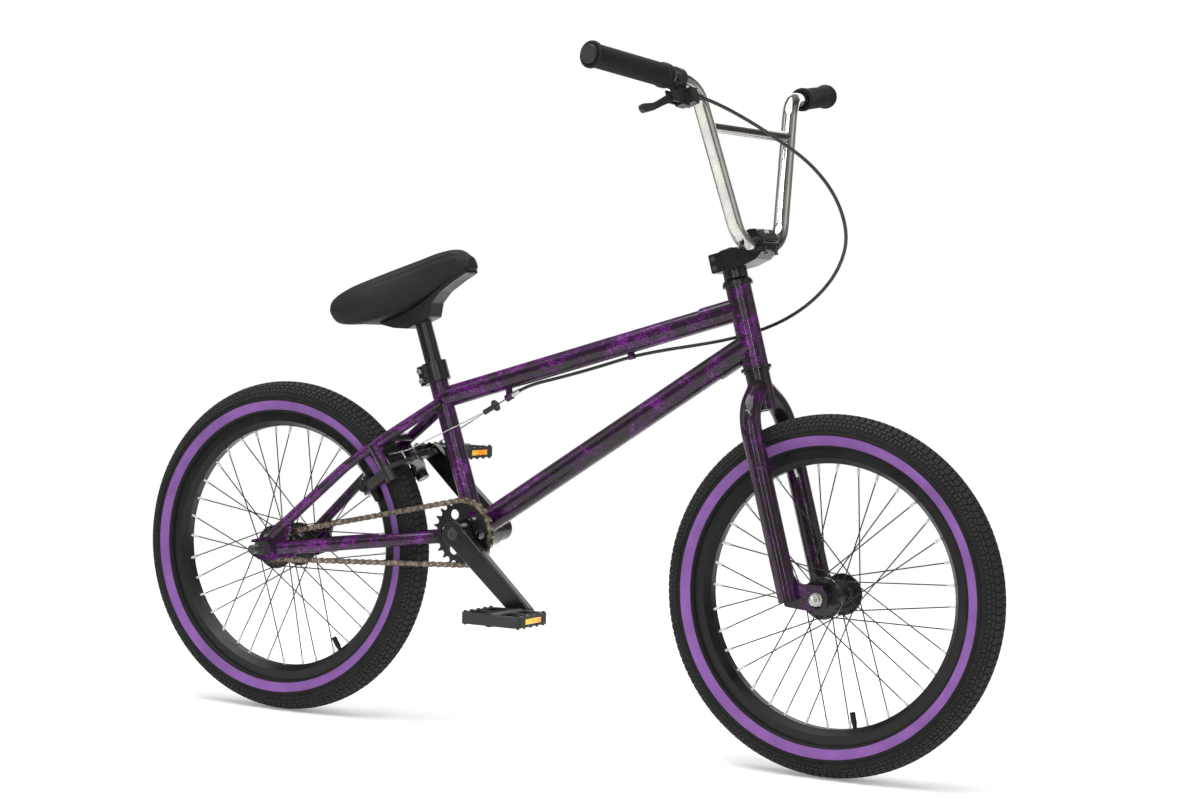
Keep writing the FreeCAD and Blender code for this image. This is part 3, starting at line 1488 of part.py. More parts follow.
def brake_yoke():
    """The button and sleeve that join the inner wire to the two straddle wires."""
    button = Part.makeCylinder(9, 5)
    button = button.makeFillet(1.8, button.Edges[:1] + button.Edges[2:3])
    sleeve = Part.makeCylinder(4, 20, V(0, 0, -20))
    inner = Part.makeCylinder(size("wire_radius"), YOKE_BACK + 12, V(0, 0, 0))
    node(feature("brake_yoke", button.fuse([sleeve, inner]), yoke_place()), "brake_yoke")


def straddle_wires():
    """Two bare wires from the yoke, one past each side of the seat tube, to the arms' clamps."""
    solids = []
    for side in (-1, 1):
        start = yoke_place().multVec(V(0, side * 2.2, -20.3))
        anchor = BRAKE.multVec(V(ANCHOR.x, side * ANCHOR.y, ANCHOR.z))
        tail = BRAKE.multVec(V(258, side * 31, 8))
        wire = rod([start, anchor, tail], [9], size("wire_radius"))
        back = (anchor - tail).normalize()
        solids.append(wire.fuse(Part.makeCylinder(1.7, 9, tail, back)))
    node(feature("straddle_wires", Part.makeCompound(solids)), "straddle_wires")


ANCHOR = V(291, 30, -4)


def brake_arm(name, side, layer):
    """One crossed arm: a sleeve on its post, a leg down to the pad and an arch over the tyre."""
    high = -size("pad_drop") + size("arm_thickness")
    low = high - 7.2
    base = high - size("arm_thickness") - layer * (size("arm_thickness") + 2)
    pivot = V(size("brake_pivot"), side * size("brake_pivot_half"), 0)
    pad = V(size("pad_radius_place"), side * (size("brake_pivot_half") - 1), 0)
    tip = V(ANCHOR.x, -side * ANCHOR.y, 0)
    middle = V(280, 0, 0)
    thick = size("arm_thickness")
    arch = bar_between(pivot, middle, 10, 7, thick, base).fuse(bar_between(middle, tip, 7, 6.5, thick, base))
    leg = bar_between(pivot, pad, 10, 6.5, 2 * thick + 1, high - 2 * thick - 2)
    sleeve = Part.makeCylinder(10, 24, pivot + UP * (high - 24))
    whole = arch.fuse([leg, sleeve])
    stud = Part.makeCylinder(4 + size("bearing_clearance"), 80, pivot - UP * 60)
    post = Part.makeCylinder(3, 40, V(pad.x, pad.y - 20, -size("pad_drop")), LEFT)
    whole = whole.cut(stud).cut(post)
    node(feature(f"brake_arm_{name}", whole, BRAKE), f"brake_arm_{name}")


def brake_pad(name, side):
    """The rubber block beside the rim on its post, with the post's nut."""
    inner = size("rim_width") / 2 + size("pad_gap")
    block = Part.makeBox(11, size("pad_thickness"), 44, V(-5.5, inner, -22))
    block = block.makeFillet(2, [e for e in block.Edges if abs(e.CenterOfMass.y - inner - size("pad_thickness")) < 0.1])
    post = Part.makeCylinder(3, 54 - inner - size("pad_thickness"), V(0, inner + size("pad_thickness"), 0), LEFT)
    nut_corners = hexagon(9.5)
    nut = Part.Face(Part.makePolygon(nut_corners + nut_corners[:1])).extrude(UP * 4)
    nut.rotate(V(), V(1, 0, 0), -90)
    nut.translate(V(0, size("brake_pivot_half") - 1 + 7.1, 0))
    pad = block.fuse([post, nut])
    pad.translate(V(size("pad_radius_place"), 0, -size("pad_drop")))
    if side < 0:
        pad = pad.mirror(V(), LEFT)
    node(feature(f"brake_pad_{name}", pad, BRAKE), f"brake_pad_{name}")


# --------------------------------------------------------------------------------------------
# Seat
# --------------------------------------------------------------------------------------------


def seat_clamp():
    """A double-bolt collar round the top of the seat tube, split at the back."""
    top = size("seat_tube_length") + 1
    low = top - size("clamp_height")
    outer = size("seat_tube_radius") + size("clamp_wall")
    band = Part.makeCylinder(outer, size("clamp_height"), V(0, 0, low))
    ears = Part.makeBox(12, 18, size("clamp_height"), V(-outer - 7, -9, low))
    band = band.fuse(ears)
    band = band.cut(Part.makeCylinder(size("seat_tube_radius"), 400))
    band = band.cut(Part.makeBox(30, 2.4, 80, V(-outer - 20, -1.2, low - 20)))
    bolts = []
    for z in (low + 7.5, top - 7.5):
        shank = Part.makeCylinder(2.5, 17, V(-outer - 2.5, -8, z), LEFT)
        head = Part.makeCylinder(4.2, 4.5, V(-outer - 2.5, -13, z), LEFT)
        bolts.append(shank.fuse(head))
    band = band.cut(Part.makeCompound(bolts))
    node(feature("seat_clamp", band, SEAT), "seat_clamp")
    node(feature("seat_clamp_bolts", Part.makeCompound(bolts), SEAT), "seat_clamp_bolts")


SADDLE_LENGTH = [
    # distance from the tail, half width, top and bottom, all in the saddle's own frame
    (11, 40, 12, -12),
    (24, 56, 20, -26),
    (55, 67, 25, -38),
    (90, 66, 26, -43),
    (130, 50, 27, -41),
    (170, 33, 27, -33),
    (210, 24, 26, -22),
    (240, 20, 19, -19),
    (254, 12, 4, -17),
]


def saddle_section(place, half, top, bottom):
    """One closed cross-section of the pad."""
    high = top - bottom
    right = [(0.6, top - 0.07 * high), (0.92, top - 0.32 * high), (1, top - 0.62 * high)]
    right += [(0.93, bottom + 0.13 * high), (0.72, bottom)]
    points = [V(place, 0, top)]
    points += [V(place, share * half, z) for share, z in right]
    points.append(V(place, 0, bottom + 1))
    points += [V(place, -share * half, z) for share, z in reversed(right)]
    curve = Part.BSplineCurve()
    curve.interpolate(Points=points, PeriodicFlag=True)
    return Part.Wire(curve.toShape())


def saddle():
    """The post, the moulded shell with its neck on the post, and the plain pad over the shell."""
    post_top = 340
    post = ring("seat_post", SEAT, "seat_post_radius - 2", "seat_post_radius", f"{post_top} - seat_post_length", str(post_top))
    node(post, "seat_post")
    frame = FreeCAD.Placement(V(-384, 0, 625), FreeCAD.Rotation(LEFT, -size("saddle_tilt")))
    pad = Part.makeLoft([saddle_section(*row) for row in SADDLE_LENGTH], True)
    neck = [(62, -30), (81, -47), (99, -58), (122, -67), (165, -63), (176, -44), (195, -33), (226, -25)]
    neck += [(248, -21), (248, -10), (62, -10)]
    shell = side_slab(neck, 3, -17, 17)
    post_room = Part.makeCylinder(size("seat_post_radius"), 120, V(0, 0, post_top - 100))
    post_room.Placement = frame.inverse().multiply(SEAT)
    shell = shell.cut(pad).cut(post_room)
    shell = max(shell.Solids, key=lambda s: s.Volume)
    node(feature("saddle_shell", shell, frame), "saddle_shell")
    node(feature("saddle_pad", pad, frame), "saddle_pad")


# --------------------------------------------------------------------------------------------
# The whole bicycle
# --------------------------------------------------------------------------------------------


def build():
    shell_solid, seat_solid = frame_tubes()
    stays(shell_solid, seat_solid)
    bearings()
    axles()
    wheel("front", FRONT_AXLE, 77, "front_hub_width / 2 - 5 - side_gap")
    wheel("rear", REAR_AXLE, 56, "rear_flange_place + flange_thickness / 2 + 0.3")
    driver()
    crankset()
    chain()
    fork()
    headset_spacers()
    stem()
    handlebar()
    lever_bracket()
    brake_lever()
    barrel_adjuster()
    brake_cable()
    brake_yoke()
    straddle_wires()
    for name, side, layer in (("right", -1, 0), ("left", 1, 1)):
        brake_arm(name, side, layer)
        brake_pad(name, side)
    seat_clamp()
    saddle()
    doc.recompute()


def check_and_export():
    """Refuses a failed object or a bad solid, then writes one file for each piece."""
    faults = [o.Label for o in doc.Objects if "Invalid" in o.State or "Error" in o.State]
    for item in NODES:
        if item.Shape.isNull() or not item.Shape.isValid() or not item.Shape.Solids:
            faults.append(f"{item.Label} shape")
    if faults:
        raise RuntimeError(f"not built: {faults}")
    os.makedirs("parts", exist_ok=True)
    for item in NODES:
        item.Shape.exportStep(f"parts/{item.Label}.step")
    print(len(NODES), "pieces")


build()
check_and_export()
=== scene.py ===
import math

import bpy
from mathutils import Matrix, Vector


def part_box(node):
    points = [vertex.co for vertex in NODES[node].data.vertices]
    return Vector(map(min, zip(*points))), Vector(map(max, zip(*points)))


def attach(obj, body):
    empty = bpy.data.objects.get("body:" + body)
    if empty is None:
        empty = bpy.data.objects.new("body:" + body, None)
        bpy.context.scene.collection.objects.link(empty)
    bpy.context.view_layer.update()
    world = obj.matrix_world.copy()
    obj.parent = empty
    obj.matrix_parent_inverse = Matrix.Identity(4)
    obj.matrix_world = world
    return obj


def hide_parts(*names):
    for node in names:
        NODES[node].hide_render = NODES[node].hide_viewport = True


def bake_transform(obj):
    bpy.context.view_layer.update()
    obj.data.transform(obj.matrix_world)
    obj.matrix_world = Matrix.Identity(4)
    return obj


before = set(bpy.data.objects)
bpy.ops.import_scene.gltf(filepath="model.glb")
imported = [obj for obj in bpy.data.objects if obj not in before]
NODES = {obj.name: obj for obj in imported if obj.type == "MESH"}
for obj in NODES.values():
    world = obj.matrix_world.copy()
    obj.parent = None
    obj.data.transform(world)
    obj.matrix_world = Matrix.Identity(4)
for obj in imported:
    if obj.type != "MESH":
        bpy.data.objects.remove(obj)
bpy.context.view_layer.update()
SCENE = bpy.context.scene


# ---------------------------------------------------------------------------
# Camera, lights and floor
# ---------------------------------------------------------------------------


CAMERA_PLACE = (2.033, -3.530, 0.697)
CAMERA_TURNS = (27.887, 3.415, 2.045)  # azimuth, elevation and roll in degrees
CAMERA_LENS = 82.35
CAMERA_SENSOR = 36
CAMERA_SHIFT = (-0.0401, 0.0344)

ROOM_GLOW = 0.4
# the room's shade from left to right, as (place, shade)
ROOM_SHADES = ((0.14, 0.5), (0.2, 0.1), (0.27, 0.75), (0.45, 0.85), (0.62, 0.5), (0.72, 0.16), (0.8, 0.8))
LIGHT_AIM = (0, 0, 0.45)
# each light: name, place, size across and along, power
LIGHTS = (
    ("top_light", (-0.3, -0.4, 3.2), (3.4, 2.4), 112),
    ("front_light", (1.6, -3.6, 2.2), (2.8, 2.4), 22),
    ("left_light", (-3.2, -1.6, 1.9), (2.0, 2.8), 18),
    ("right_light", (3.6, 0.6, 1.6), (2.6, 3.0), 13),
    ("near_strip", (0.3, -3.4, 1.5), (0.07, 2.6), 16),
    ("far_strip", (2.6, -2.6, 1.4), (0.07, 2.4), 13),
    ("long_strip", (0.0, -1.5, 2.6), (3.0, 0.08), 16),
    ("back_light", (-0.6, 3.4, 2.0), (3.0, 1.8), 26),
)
FLOOR_RADIUS = 2.6
FLOOR_CORNERS = 64
FLOOR_HEIGHT = -0.0005
FLOOR_GLOW = 0.2


def make_camera():
    azimuth, elevation, roll = (math.radians(turn) for turn in CAMERA_TURNS)
    level = math.cos(elevation)
    back = Vector((math.sin(azimuth) * level, -math.cos(azimuth) * level, math.sin(elevation)))
    across = Vector((0, 0, 1)).cross(back).normalized()
    up = back.cross(across)
    right = across * math.cos(roll) + up * math.sin(roll)
    top = up * math.cos(roll) - across * math.sin(roll)
    data = bpy.data.cameras.new("camera")
    data.sensor_width = CAMERA_SENSOR
    data.lens = CAMERA_LENS
    data.shift_x, data.shift_y = CAMERA_SHIFT
    data.clip_start = 0.1
    data.clip_end = 100
    camera = bpy.data.objects.new("camera", data)
    SCENE.collection.objects.link(camera)
    turn = Matrix((right, top, back)).transposed().to_4x4()
    camera.matrix_world = Matrix.Translation(CAMERA_PLACE) @ turn
    SCENE.camera = camera


def soft_light(name, place, size, power):
    data = bpy.data.lights.new(name, "AREA")
    data.shape = "RECTANGLE"
    data.size, data.size_y = size
    data.energy = power
    lamp = bpy.data.objects.new(name, data)
    SCENE.collection.objects.link(lamp)
    lamp.location = place
    lamp.rotation_mode = "QUATERNION"
    lamp.rotation_quaternion = (Vector(LIGHT_AIM) - Vector(place)).to_track_quat("-Z", "Y")


def make_studio():
    """White to the camera; to the object, a room whose shade changes from left to right, and soft lights."""
    SCENE.view_settings.view_transform = "Standard"
    world = bpy.data.worlds.new("studio")
    SCENE.world = world
    world.use_nodes = True
    tree = world.node_tree
    plain = tree.nodes["Background"]
    plain.inputs["Color"].default_value = (1, 1, 1, 1)
    plain.inputs["Strength"].default_value = 1.0
    room = tree.nodes.new("ShaderNodeBackground")
    room.inputs["Strength"].default_value = ROOM_GLOW
    way = tree.nodes.new("ShaderNodeTexCoord")
    split = tree.nodes.new("ShaderNodeSeparateXYZ")
    tree.links.new(way.outputs["Generated"], split.inputs[0])
    side = tree.nodes.new("ShaderNodeValToRGB")
    side.color_ramp.interpolation = "EASE"
    stops = side.color_ramp.elements
    stops[0].position, stops[0].color = 0.0, (0.9, 0.88, 0.84, 1)
    stops[1].position, stops[1].color = 1.0, (0.8, 0.79, 0.77, 1)
    for spot, shade in ROOM_SHADES:
        stop = stops.new(spot)
        stop.color = (shade, shade * 0.98, shade * 0.94, 1)
    shift = tree.nodes.new("ShaderNodeMath")
    shift.operation = "MULTIPLY_ADD"
    shift.inputs[1].default_value = 0.5
    shift.inputs[2].default_value = 0.5
    tree.links.new(split.outputs[0], shift.inputs[0])
    tree.links.new(shift.outputs[0], side.inputs[0])
    tree.links.new(side.outputs[0], room.inputs["Color"])
    ray = tree.nodes.new("ShaderNodeLightPath")
    blend = tree.nodes.new("ShaderNodeMixShader")
    tree.links.new(ray.outputs["Is Camera Ray"], blend.inputs[0])
    tree.links.new(room.outputs[0], blend.inputs[1])
    tree.links.new(plain.outputs[0], blend.inputs[2])
    tree.links.new(blend.outputs[0], tree.nodes["World Output"].inputs["Surface"])

    for name, place, size, power in LIGHTS:
        soft_light(name, place, size, power)


def make_floor():
    mesh = bpy.data.meshes.new("floor")
    turns = [2 * math.pi * k / FLOOR_CORNERS for k in range(FLOOR_CORNERS)]
    rim = [(FLOOR_RADIUS * math.cos(t), FLOOR_RADIUS * math.sin(t), FLOOR_HEIGHT) for t in turns]
    mesh.from_pydata(rim, [], [tuple(range(FLOOR_CORNERS))])
    floor = bpy.data.objects.new("floor", mesh)
    SCENE.collection.objects.link(floor)
    paper = Finish("floor_paper", (0.93, 0.93, 0.93), rough=0.9)
    paper.colour(paper.grey_ramp(paper.noise(30, 3), 0.92, 0.95))
    paper.set("Emission Color", (1, 1, 1, 1))
    paper.set("Emission Strength", FLOOR_GLOW)
    mesh.materials.append(paper.material)


# ---------------------------------------------------------------------------
# Finishes
# ---------------------------------------------------------------------------


class Finish:
    """A procedural material around one Principled shader, in the object's own coordinates."""

    def __init__(self, name, colour, rough=0.5, metal=0.0, coat=0.0, coat_rough=0.05, specular=0.5):
        self.material = bpy.data.materials.new(name)
        self.material.use_nodes = True
        self.tree = self.material.node_tree
        self.shader = self.tree.nodes["Principled BSDF"]
        self.set("Base Color", (*colour, 1))
        self.set("Roughness", rough)
        self.set("Metallic", metal)
        self.set("Coat Weight", coat)
        self.set("Coat Roughness", coat_rough)
        self.set("Specular IOR Level", specular)
        self.place = self.new("ShaderNodeTexCoord").outputs["Object"]
        self.height = None

    def new(self, kind):
        return self.tree.nodes.new(kind)

    def link(self, source, target):
        self.tree.links.new(source, target)

    def set(self, socket, value):
        self.shader.inputs[socket].default_value = value

    def moved(self, shift=(0, 0, 0), scale=(1, 1, 1)):
        mapping = self.new("ShaderNodeMapping")
        mapping.inputs["Location"].default_value = shift
        mapping.inputs["Scale"].default_value = scale
        self.link(self.place, mapping.inputs["Vector"])
        return mapping.outputs[0]

    def noise(self, scale, detail=4, rough=0.55, distortion=0.0, at=None):
        texture = self.new("ShaderNodeTexNoise")
        texture.inputs["Scale"].default_value = scale
        texture.inputs["Detail"].default_value = detail
        texture.inputs["Roughness"].default_value = rough
        texture.inputs["Distortion"].default_value = distortion
        self.link(at or self.place, texture.inputs["Vector"])
        return texture.outputs[0]

    def cells(self, scale, feature="F1"):
        texture = self.new("ShaderNodeTexVoronoi")
        texture.feature = feature
        texture.inputs["Scale"].default_value = scale
        self.link(self.place, texture.inputs["Vector"])
        return texture.outputs["Distance"]

    def maths(self, operation, a, b):
        node = self.new("ShaderNodeMath")
        node.operation = operation
        for socket, value in zip(node.inputs, (a, b)):
            if isinstance(value, (int, float)):
                socket.default_value = value
            else:
                self.link(value, socket)
        return node.outputs[0]

    def ramp(self, value, stops):
        node = self.new("ShaderNodeValToRGB")
        elements = node.color_ramp.elements
        while len(elements) < len(stops):
            elements.new(0.5)
        for element, (place, colour) in zip(elements, stops):
            element.position = place
            element.color = (*colour, 1)
        self.link(value, node.inputs[0])
        return node.outputs[0]

    def mixed(self, share, a, b):
        node = self.new("ShaderNodeMix")
        node.data_type = "RGBA"
        for socket, output in ((node.inputs["Factor"], share), (node.inputs[6], a), (node.inputs[7], b)):
            self.link(output, socket)
        return node.outputs[2]

    def span(self, value, low, high):
        """A texture's middle values, 0.3 to 0.7, spread over another range."""
        node = self.new("ShaderNodeMapRange")
        node.inputs["From Min"].default_value = 0.3
        node.inputs["From Max"].default_value = 0.7
        node.inputs["To Min"].default_value = low
        node.inputs["To Max"].default_value = high
        self.link(value, node.inputs["Value"])
        return node.outputs[0]

    def grey_ramp(self, value, low, high):
        """A neutral ramp between two shades."""
        return self.ramp(value, ((0.3, (low,) * 3), (0.7, (high,) * 3)))

    def colour(self, output):
        self.link(output, self.shader.inputs["Base Color"])

    def roughness(self, output):
        self.link(output, self.shader.inputs["Roughness"])

    def bump(self, height, depth, strength=1.0):
        node = self.new("ShaderNodeBump")
        node.inputs["Strength"].default_value = strength
        node.inputs["Distance"].default_value = depth
        self.link(height, node.inputs["Height"])
        if self.height is not None:
            self.link(self.height, node.inputs["Normal"])
        self.height = node.outputs[0]
        self.link(self.height, self.shader.inputs["Normal"])


def splatter_paint(name, purple, amount):
    """Glossy near-black paint with fine purple streaks; the extra purple where the tubes face upwards is
    painted top light.
    """
    finish = Finish(name, (0.01, 0.004, 0.014), rough=0.4, coat=1.0, coat_rough=0.04, specular=0.1)
    finish.set("Coat IOR", 1.34)
    grain = finish.moved(scale=(0.55, 1, 1))
    streaks = finish.noise(240, 5, 0.66, 1.3, grain)
    drops = finish.noise(620, 3, 0.6, 0.4, grain)
    patches = finish.noise(26, 3, 0.55, 0.8)
    # painted top light: surfaces that face upwards get a larger purple share, so tube tops read lighter
    painted_top_light = finish.new("ShaderNodeSeparateXYZ")
    finish.link(finish.new("ShaderNodeTexCoord").outputs["Normal"], painted_top_light.inputs[0])
    streaks_part = finish.maths("MULTIPLY", streaks, 0.58)
    patches_part = finish.maths("MULTIPLY", patches, 0.42)
    drops_part = finish.maths("MULTIPLY", finish.maths("SUBTRACT", drops, 0.5), 0.3)
    share = finish.maths("ADD", streaks_part, patches_part)
    share = finish.maths("ADD", share, drops_part)
    share = finish.maths("ADD", share, finish.maths("MULTIPLY", painted_top_light.outputs[2], 0.022))
    low = 0.5 - amount
    dark = tuple(0.12 * c for c in purple)
    middle = tuple(0.4 * c for c in purple)
    brown = (0.013, 0.008, 0.011)
    stops = ((low - 0.03, brown), (low + 0.01, dark), (low + 0.05, middle), (low + 0.1, purple))
    finish.colour(finish.ramp(share, stops))
    finish.roughness(finish.span(streaks, 0.4, 0.28))
    finish.bump(finish.noise(120, 2), 0.00006, 0.25)
    return finish.material


def chrome():
    finish = Finish("chrome", (0.5, 0.49, 0.465), rough=0.08, metal=1.0)
    smudge = finish.noise(34, 5, 0.6, 0.4)
    finish.colour(finish.ramp(smudge, ((0.3, (0.45, 0.435, 0.405)), (0.7, (0.58, 0.565, 0.54)))))
    finish.roughness(finish.span(smudge, 0.05, 0.13))
    finish.bump(finish.noise(16, 2), 0.0006, 0.12)
    return finish.material


def dark_metal(name, shade, rough, coat=0.3):
    """Painted or anodised black metal with faint wear and a fine tooth."""
    finish = Finish(name, (shade, shade, shade), rough=rough, coat=coat, coat_rough=0.2, specular=0.3)
    cloud = finish.noise(28, 5, 0.6)
    fine = finish.noise(900, 2)
    light = tuple(shade * k for k in (1.7, 1.68, 1.66))
    finish.colour(finish.ramp(cloud, ((0.3, (shade * 0.7, shade * 0.7, shade * 0.74)), (0.72, light))))
    finish.roughness(finish.span(cloud, rough - 0.07, rough + 0.09))
    finish.bump(fine, 0.00006, 0.6)
    return finish.material


def bright_metal(name, colour, rough):
    """Plated or turned bare metal with duller clouds."""
    finish = Finish(name, colour, rough=rough, metal=1.0)
    cloud = finish.noise(60, 5, 0.65)
    turned = finish.noise(400, 2, 0.5, 0, finish.moved(scale=(1, 6, 1)))
    dull = tuple(c * 0.62 for c in colour)
    finish.colour(finish.ramp(cloud, ((0.32, dull), (0.6, colour))))
    finish.roughness(finish.span(cloud, rough - 0.08, rough + 0.12))
    finish.bump(turned, 0.00008, 0.5)
    return finish.material


def rubber(name, shade, rough=0.78, depth=0.00025, tint=(1, 1, 1)):
    finish = Finish(name, tuple(shade * t for t in tint), rough=rough, specular=0.22)
    cloud = finish.noise(22, 4, 0.6)
    fine = finish.noise(1400, 3)
    low = tuple(shade * t * 0.82 for t in tint)
    high = tuple(shade * t * 1.2 for t in tint)
    finish.colour(finish.ramp(cloud, ((0.3, low), (0.7, high))))
    finish.roughness(finish.span(cloud, rough - 0.06, rough + 0.1))
    finish.bump(fine, depth, 0.5)
    return finish.material


def vinyl():
    """The saddle's cover: dull black with a fine pebble grain."""
    finish = Finish("saddle_vinyl", (0.014, 0.014, 0.014), rough=0.6, specular=0.22)
    pebble = finish.cells(1150)
    cloud = finish.noise(16, 4, 0.55)
    finish.colour(finish.ramp(cloud, ((0.3, (0.007, 0.007, 0.007)), (0.72, (0.014, 0.0135, 0.013)))))
    finish.roughness(finish.span(cloud, 0.55, 0.7))
    finish.bump(cloud, 0.004, 0.1)
    finish.bump(pebble, 0.00022, 0.55)
    return finish.material


def moulded(name, shade, rough=0.5):
    finish = Finish(name, (shade, shade, shade), rough=rough)
    spark = finish.cells(1700)
    cloud = finish.noise(30, 4)
    finish.colour(finish.grey_ramp(cloud, shade * 0.75, shade * 1.3))
    finish.roughness(finish.span(cloud, rough - 0.07, rough + 0.1))
    finish.bump(spark, 0.00015, 0.5)
    return finish.material


def chain_steel():
    finish = Finish("chain_steel", (0.28, 0.24, 0.2), rough=0.38, metal=1.0)
    cloud = finish.noise(120, 5, 0.7)
    stops = ((0.3, (0.07, 0.055, 0.045)), (0.5, (0.2, 0.165, 0.13)), (0.68, (0.4, 0.35, 0.29)))
    finish.colour(finish.ramp(cloud, stops))
    finish.roughness(finish.span(cloud, 0.3, 0.5))
    finish.bump(cloud, 0.0002, 0.4)
    return finish.material


def reflector():
    """Moulded amber plastic with rows of small prisms, with painted yellow glints in bands and a faint
    painted glow.
    """
    finish = Finish("reflector_amber", (0.9, 0.38, 0.03), rough=0.16, coat=0.6)
    prisms = finish.cells(420, "DISTANCE_TO_EDGE")
    painted_glint_bands = finish.noise(70, 1, 0.3)
    # painted highlight: yellow bands over the deep amber stand in for light glinting off the prism facets
    finish.colour(finish.ramp(painted_glint_bands, ((0.42, (0.95, 0.28, 0.01)), (0.56, (1.0, 0.62, 0.03)))))
    # painted glow: the plastic gives off a faint amber light of its own, though it is no lamp
    finish.set("Emission Color", (1.0, 0.4, 0.02, 1))
    finish.set("Emission Strength", 0.22)
    finish.bump(prisms, 0.0006, 0.8)
    return finish.material


NIPPLE_START = 0.1755


def spoke_finish(name, axle):
    """Black wire with silver nipples: the silver starts at a distance from the axle."""
    finish = Finish(name, (0.01, 0.01, 0.01), rough=0.4, specular=0.3)
    split = finish.new("ShaderNodeSeparateXYZ")
    finish.link(finish.moved(shift=(-axle.x, 0, -axle.z)), split.inputs[0])
    across = finish.maths("MULTIPLY", split.outputs[0], split.outputs[0])
    high = finish.maths("MULTIPLY", split.outputs[2], split.outputs[2])
    nipple = finish.maths("GREATER_THAN", finish.maths("ADD", across, high), NIPPLE_START**2)
    cloud = finish.noise(200, 3)
    black = finish.grey_ramp(cloud, 0.004, 0.012)
    silver = finish.ramp(cloud, ((0.3, (0.5, 0.5, 0.49)), (0.7, (0.8, 0.8, 0.79))))
    finish.colour(finish.mixed(nipple, black, silver))
    finish.roughness(finish.span(cloud, 0.28, 0.42))
    finish.bump(cloud, 0.0001, 0.3)
    return finish.material


# ---------------------------------------------------------------------------
# Mesh helpers
# ---------------------------------------------------------------------------


def new_object(name, points, faces, materials, faces_material=None, smooth=True):
    mesh = bpy.data.meshes.new(name)
    mesh.from_pydata([tuple(p) for p in points], [], faces)
    for material in materials:
        mesh.materials.append(material)
    if faces_material:
        mesh.polygons.foreach_set("material_index", faces_material)
    mesh.polygons.foreach_set("use_smooth", [smooth] * len(mesh.polygons))
    mesh.validate()
    mesh.update()
    item = bpy.data.objects.new(name, mesh)
    SCENE.collection.objects.link(item)
    return item


def lathe(profile, place, axis, start, steps):
    """Points and faces of a closed profile of (radius, height) turned about an axis."""
    side = axis.cross(start).normalized()
    out = side.cross(axis).normalized()
    points, faces = [], []
    for k in range(steps):
        turn = 2 * math.pi * k / steps
        away = out * math.cos(turn) + side * math.sin(turn)
        points += [place + away * radius + axis * height for radius, height in profile]
    count = len(profile)
    for k in range(steps):
        here, ahead = k * count, ((k + 1) % steps) * count
        for i in range(count):
            j = (i + 1) % count
            faces.append((here + i, here + j, ahead + j, ahead + i))
    return points, faces


# ---------------------------------------------------------------------------
# Tyres
# ---------------------------------------------------------------------------

TYRE_MIDDLE = 0.2291
TYRE_SECTION = 0.0284
TREAD_DEPTH = 0.0021
BAND = (0.2134, 0.2281)
TREAD_START = 0.2335
TREAD_END = 85
TREAD_PITCHES = 76
TREAD_FADE = 4  # degrees over which the carcass rises from under the tread to the wall
BLOCK_SPLITS = 3
# a block's foot, shoulder and top: the distance from the section's middle, and the share drawn in
BLOCK_LEVELS = (
    (TYRE_SECTION - TREAD_DEPTH - 0.0003, 0),
    (TYRE_SECTION - 0.00035, 0.06),
    (TYRE_SECTION, 0.16),
)
VIOLET_SIDE = 0.0205  # the band is only where the wall stands at least this far out
TYRE_SECTION_STEPS = 40
TYRE_TURN_STEPS = 180
# the lip and the bead's other corners as (radius, side)
TYRE_BEAD = [(0.2099, 0.0152), (0.2036, 0.0149), (0.2036, 0.0118), (0.212, 0.0118)]
# each row: angles from the crown in degrees, slats in a pitch, their shift in pitches,
# the gap's share of a slat
TREAD_ROWS = [
    (0.0, 15, 2, 0.0, 0.16),
    (16.4, 38, 2, 0.125, 0.15),
    (39.6, 50, 2, 0.0, 0.2),
    (51.6, 64, 3, 0.06, 0.3),
    (66, 79, 5, 0.0, 0.42),
]


def tyre_profile():
    """(radius, side) points round the tyre's section."""
    last = math.acos((TYRE_BEAD[0][0] - TYRE_MIDDLE) / TYRE_SECTION)
    half = []
    for k in range(TYRE_SECTION_STEPS + 1):
        angle = last * k / TYRE_SECTION_STEPS
        share = min(1, max(0, (TREAD_END - math.degrees(angle)) / TREAD_FADE))
        section = TYRE_SECTION - TREAD_DEPTH * share
        half.append((TYRE_MIDDLE + section * math.cos(angle), section * math.sin(angle)))
    half += TYRE_BEAD
    return [(r, -s) for r, s in reversed(half[1:])] + half


def tread_block(points, faces, hub, angles, turns):
    """A raised block over a patch of the tyre: angles across the section, turns round the wheel."""
    low = len(points)
    for lift, shrink in BLOCK_LEVELS:
        for i in range(BLOCK_SPLITS + 1):
            share = shrink + (1 - 2 * shrink) * i / BLOCK_SPLITS
            across = angles[0] + (angles[1] - angles[0]) * share
            for turn_share in (shrink * 0.8, 1 - shrink * 0.8):
                turn = turns[0] + (turns[1] - turns[0]) * turn_share
                radius = TYRE_MIDDLE + lift * math.cos(across)
                points.append(
                    hub + Vector((radius * math.cos(turn), lift * math.sin(across), radius * math.sin(turn)))
                )
    ring = 2 * (BLOCK_SPLITS + 1)
    edge = [2 * i for i in range(BLOCK_SPLITS + 1)] + [2 * i + 1 for i in range(BLOCK_SPLITS, -1, -1)]
    for level in range(2):
        base = low + level * ring
        for a, b in zip(edge, edge[1:] + edge[:1]):
            faces.append((base + a, base + b, base + ring + b, base + ring + a))
    base = low + 2 * ring
    for i in range(BLOCK_SPLITS):
        faces.append((base + 2 * i, base + 2 * i + 1, base + 2 * i + 3, base + 2 * i + 2))


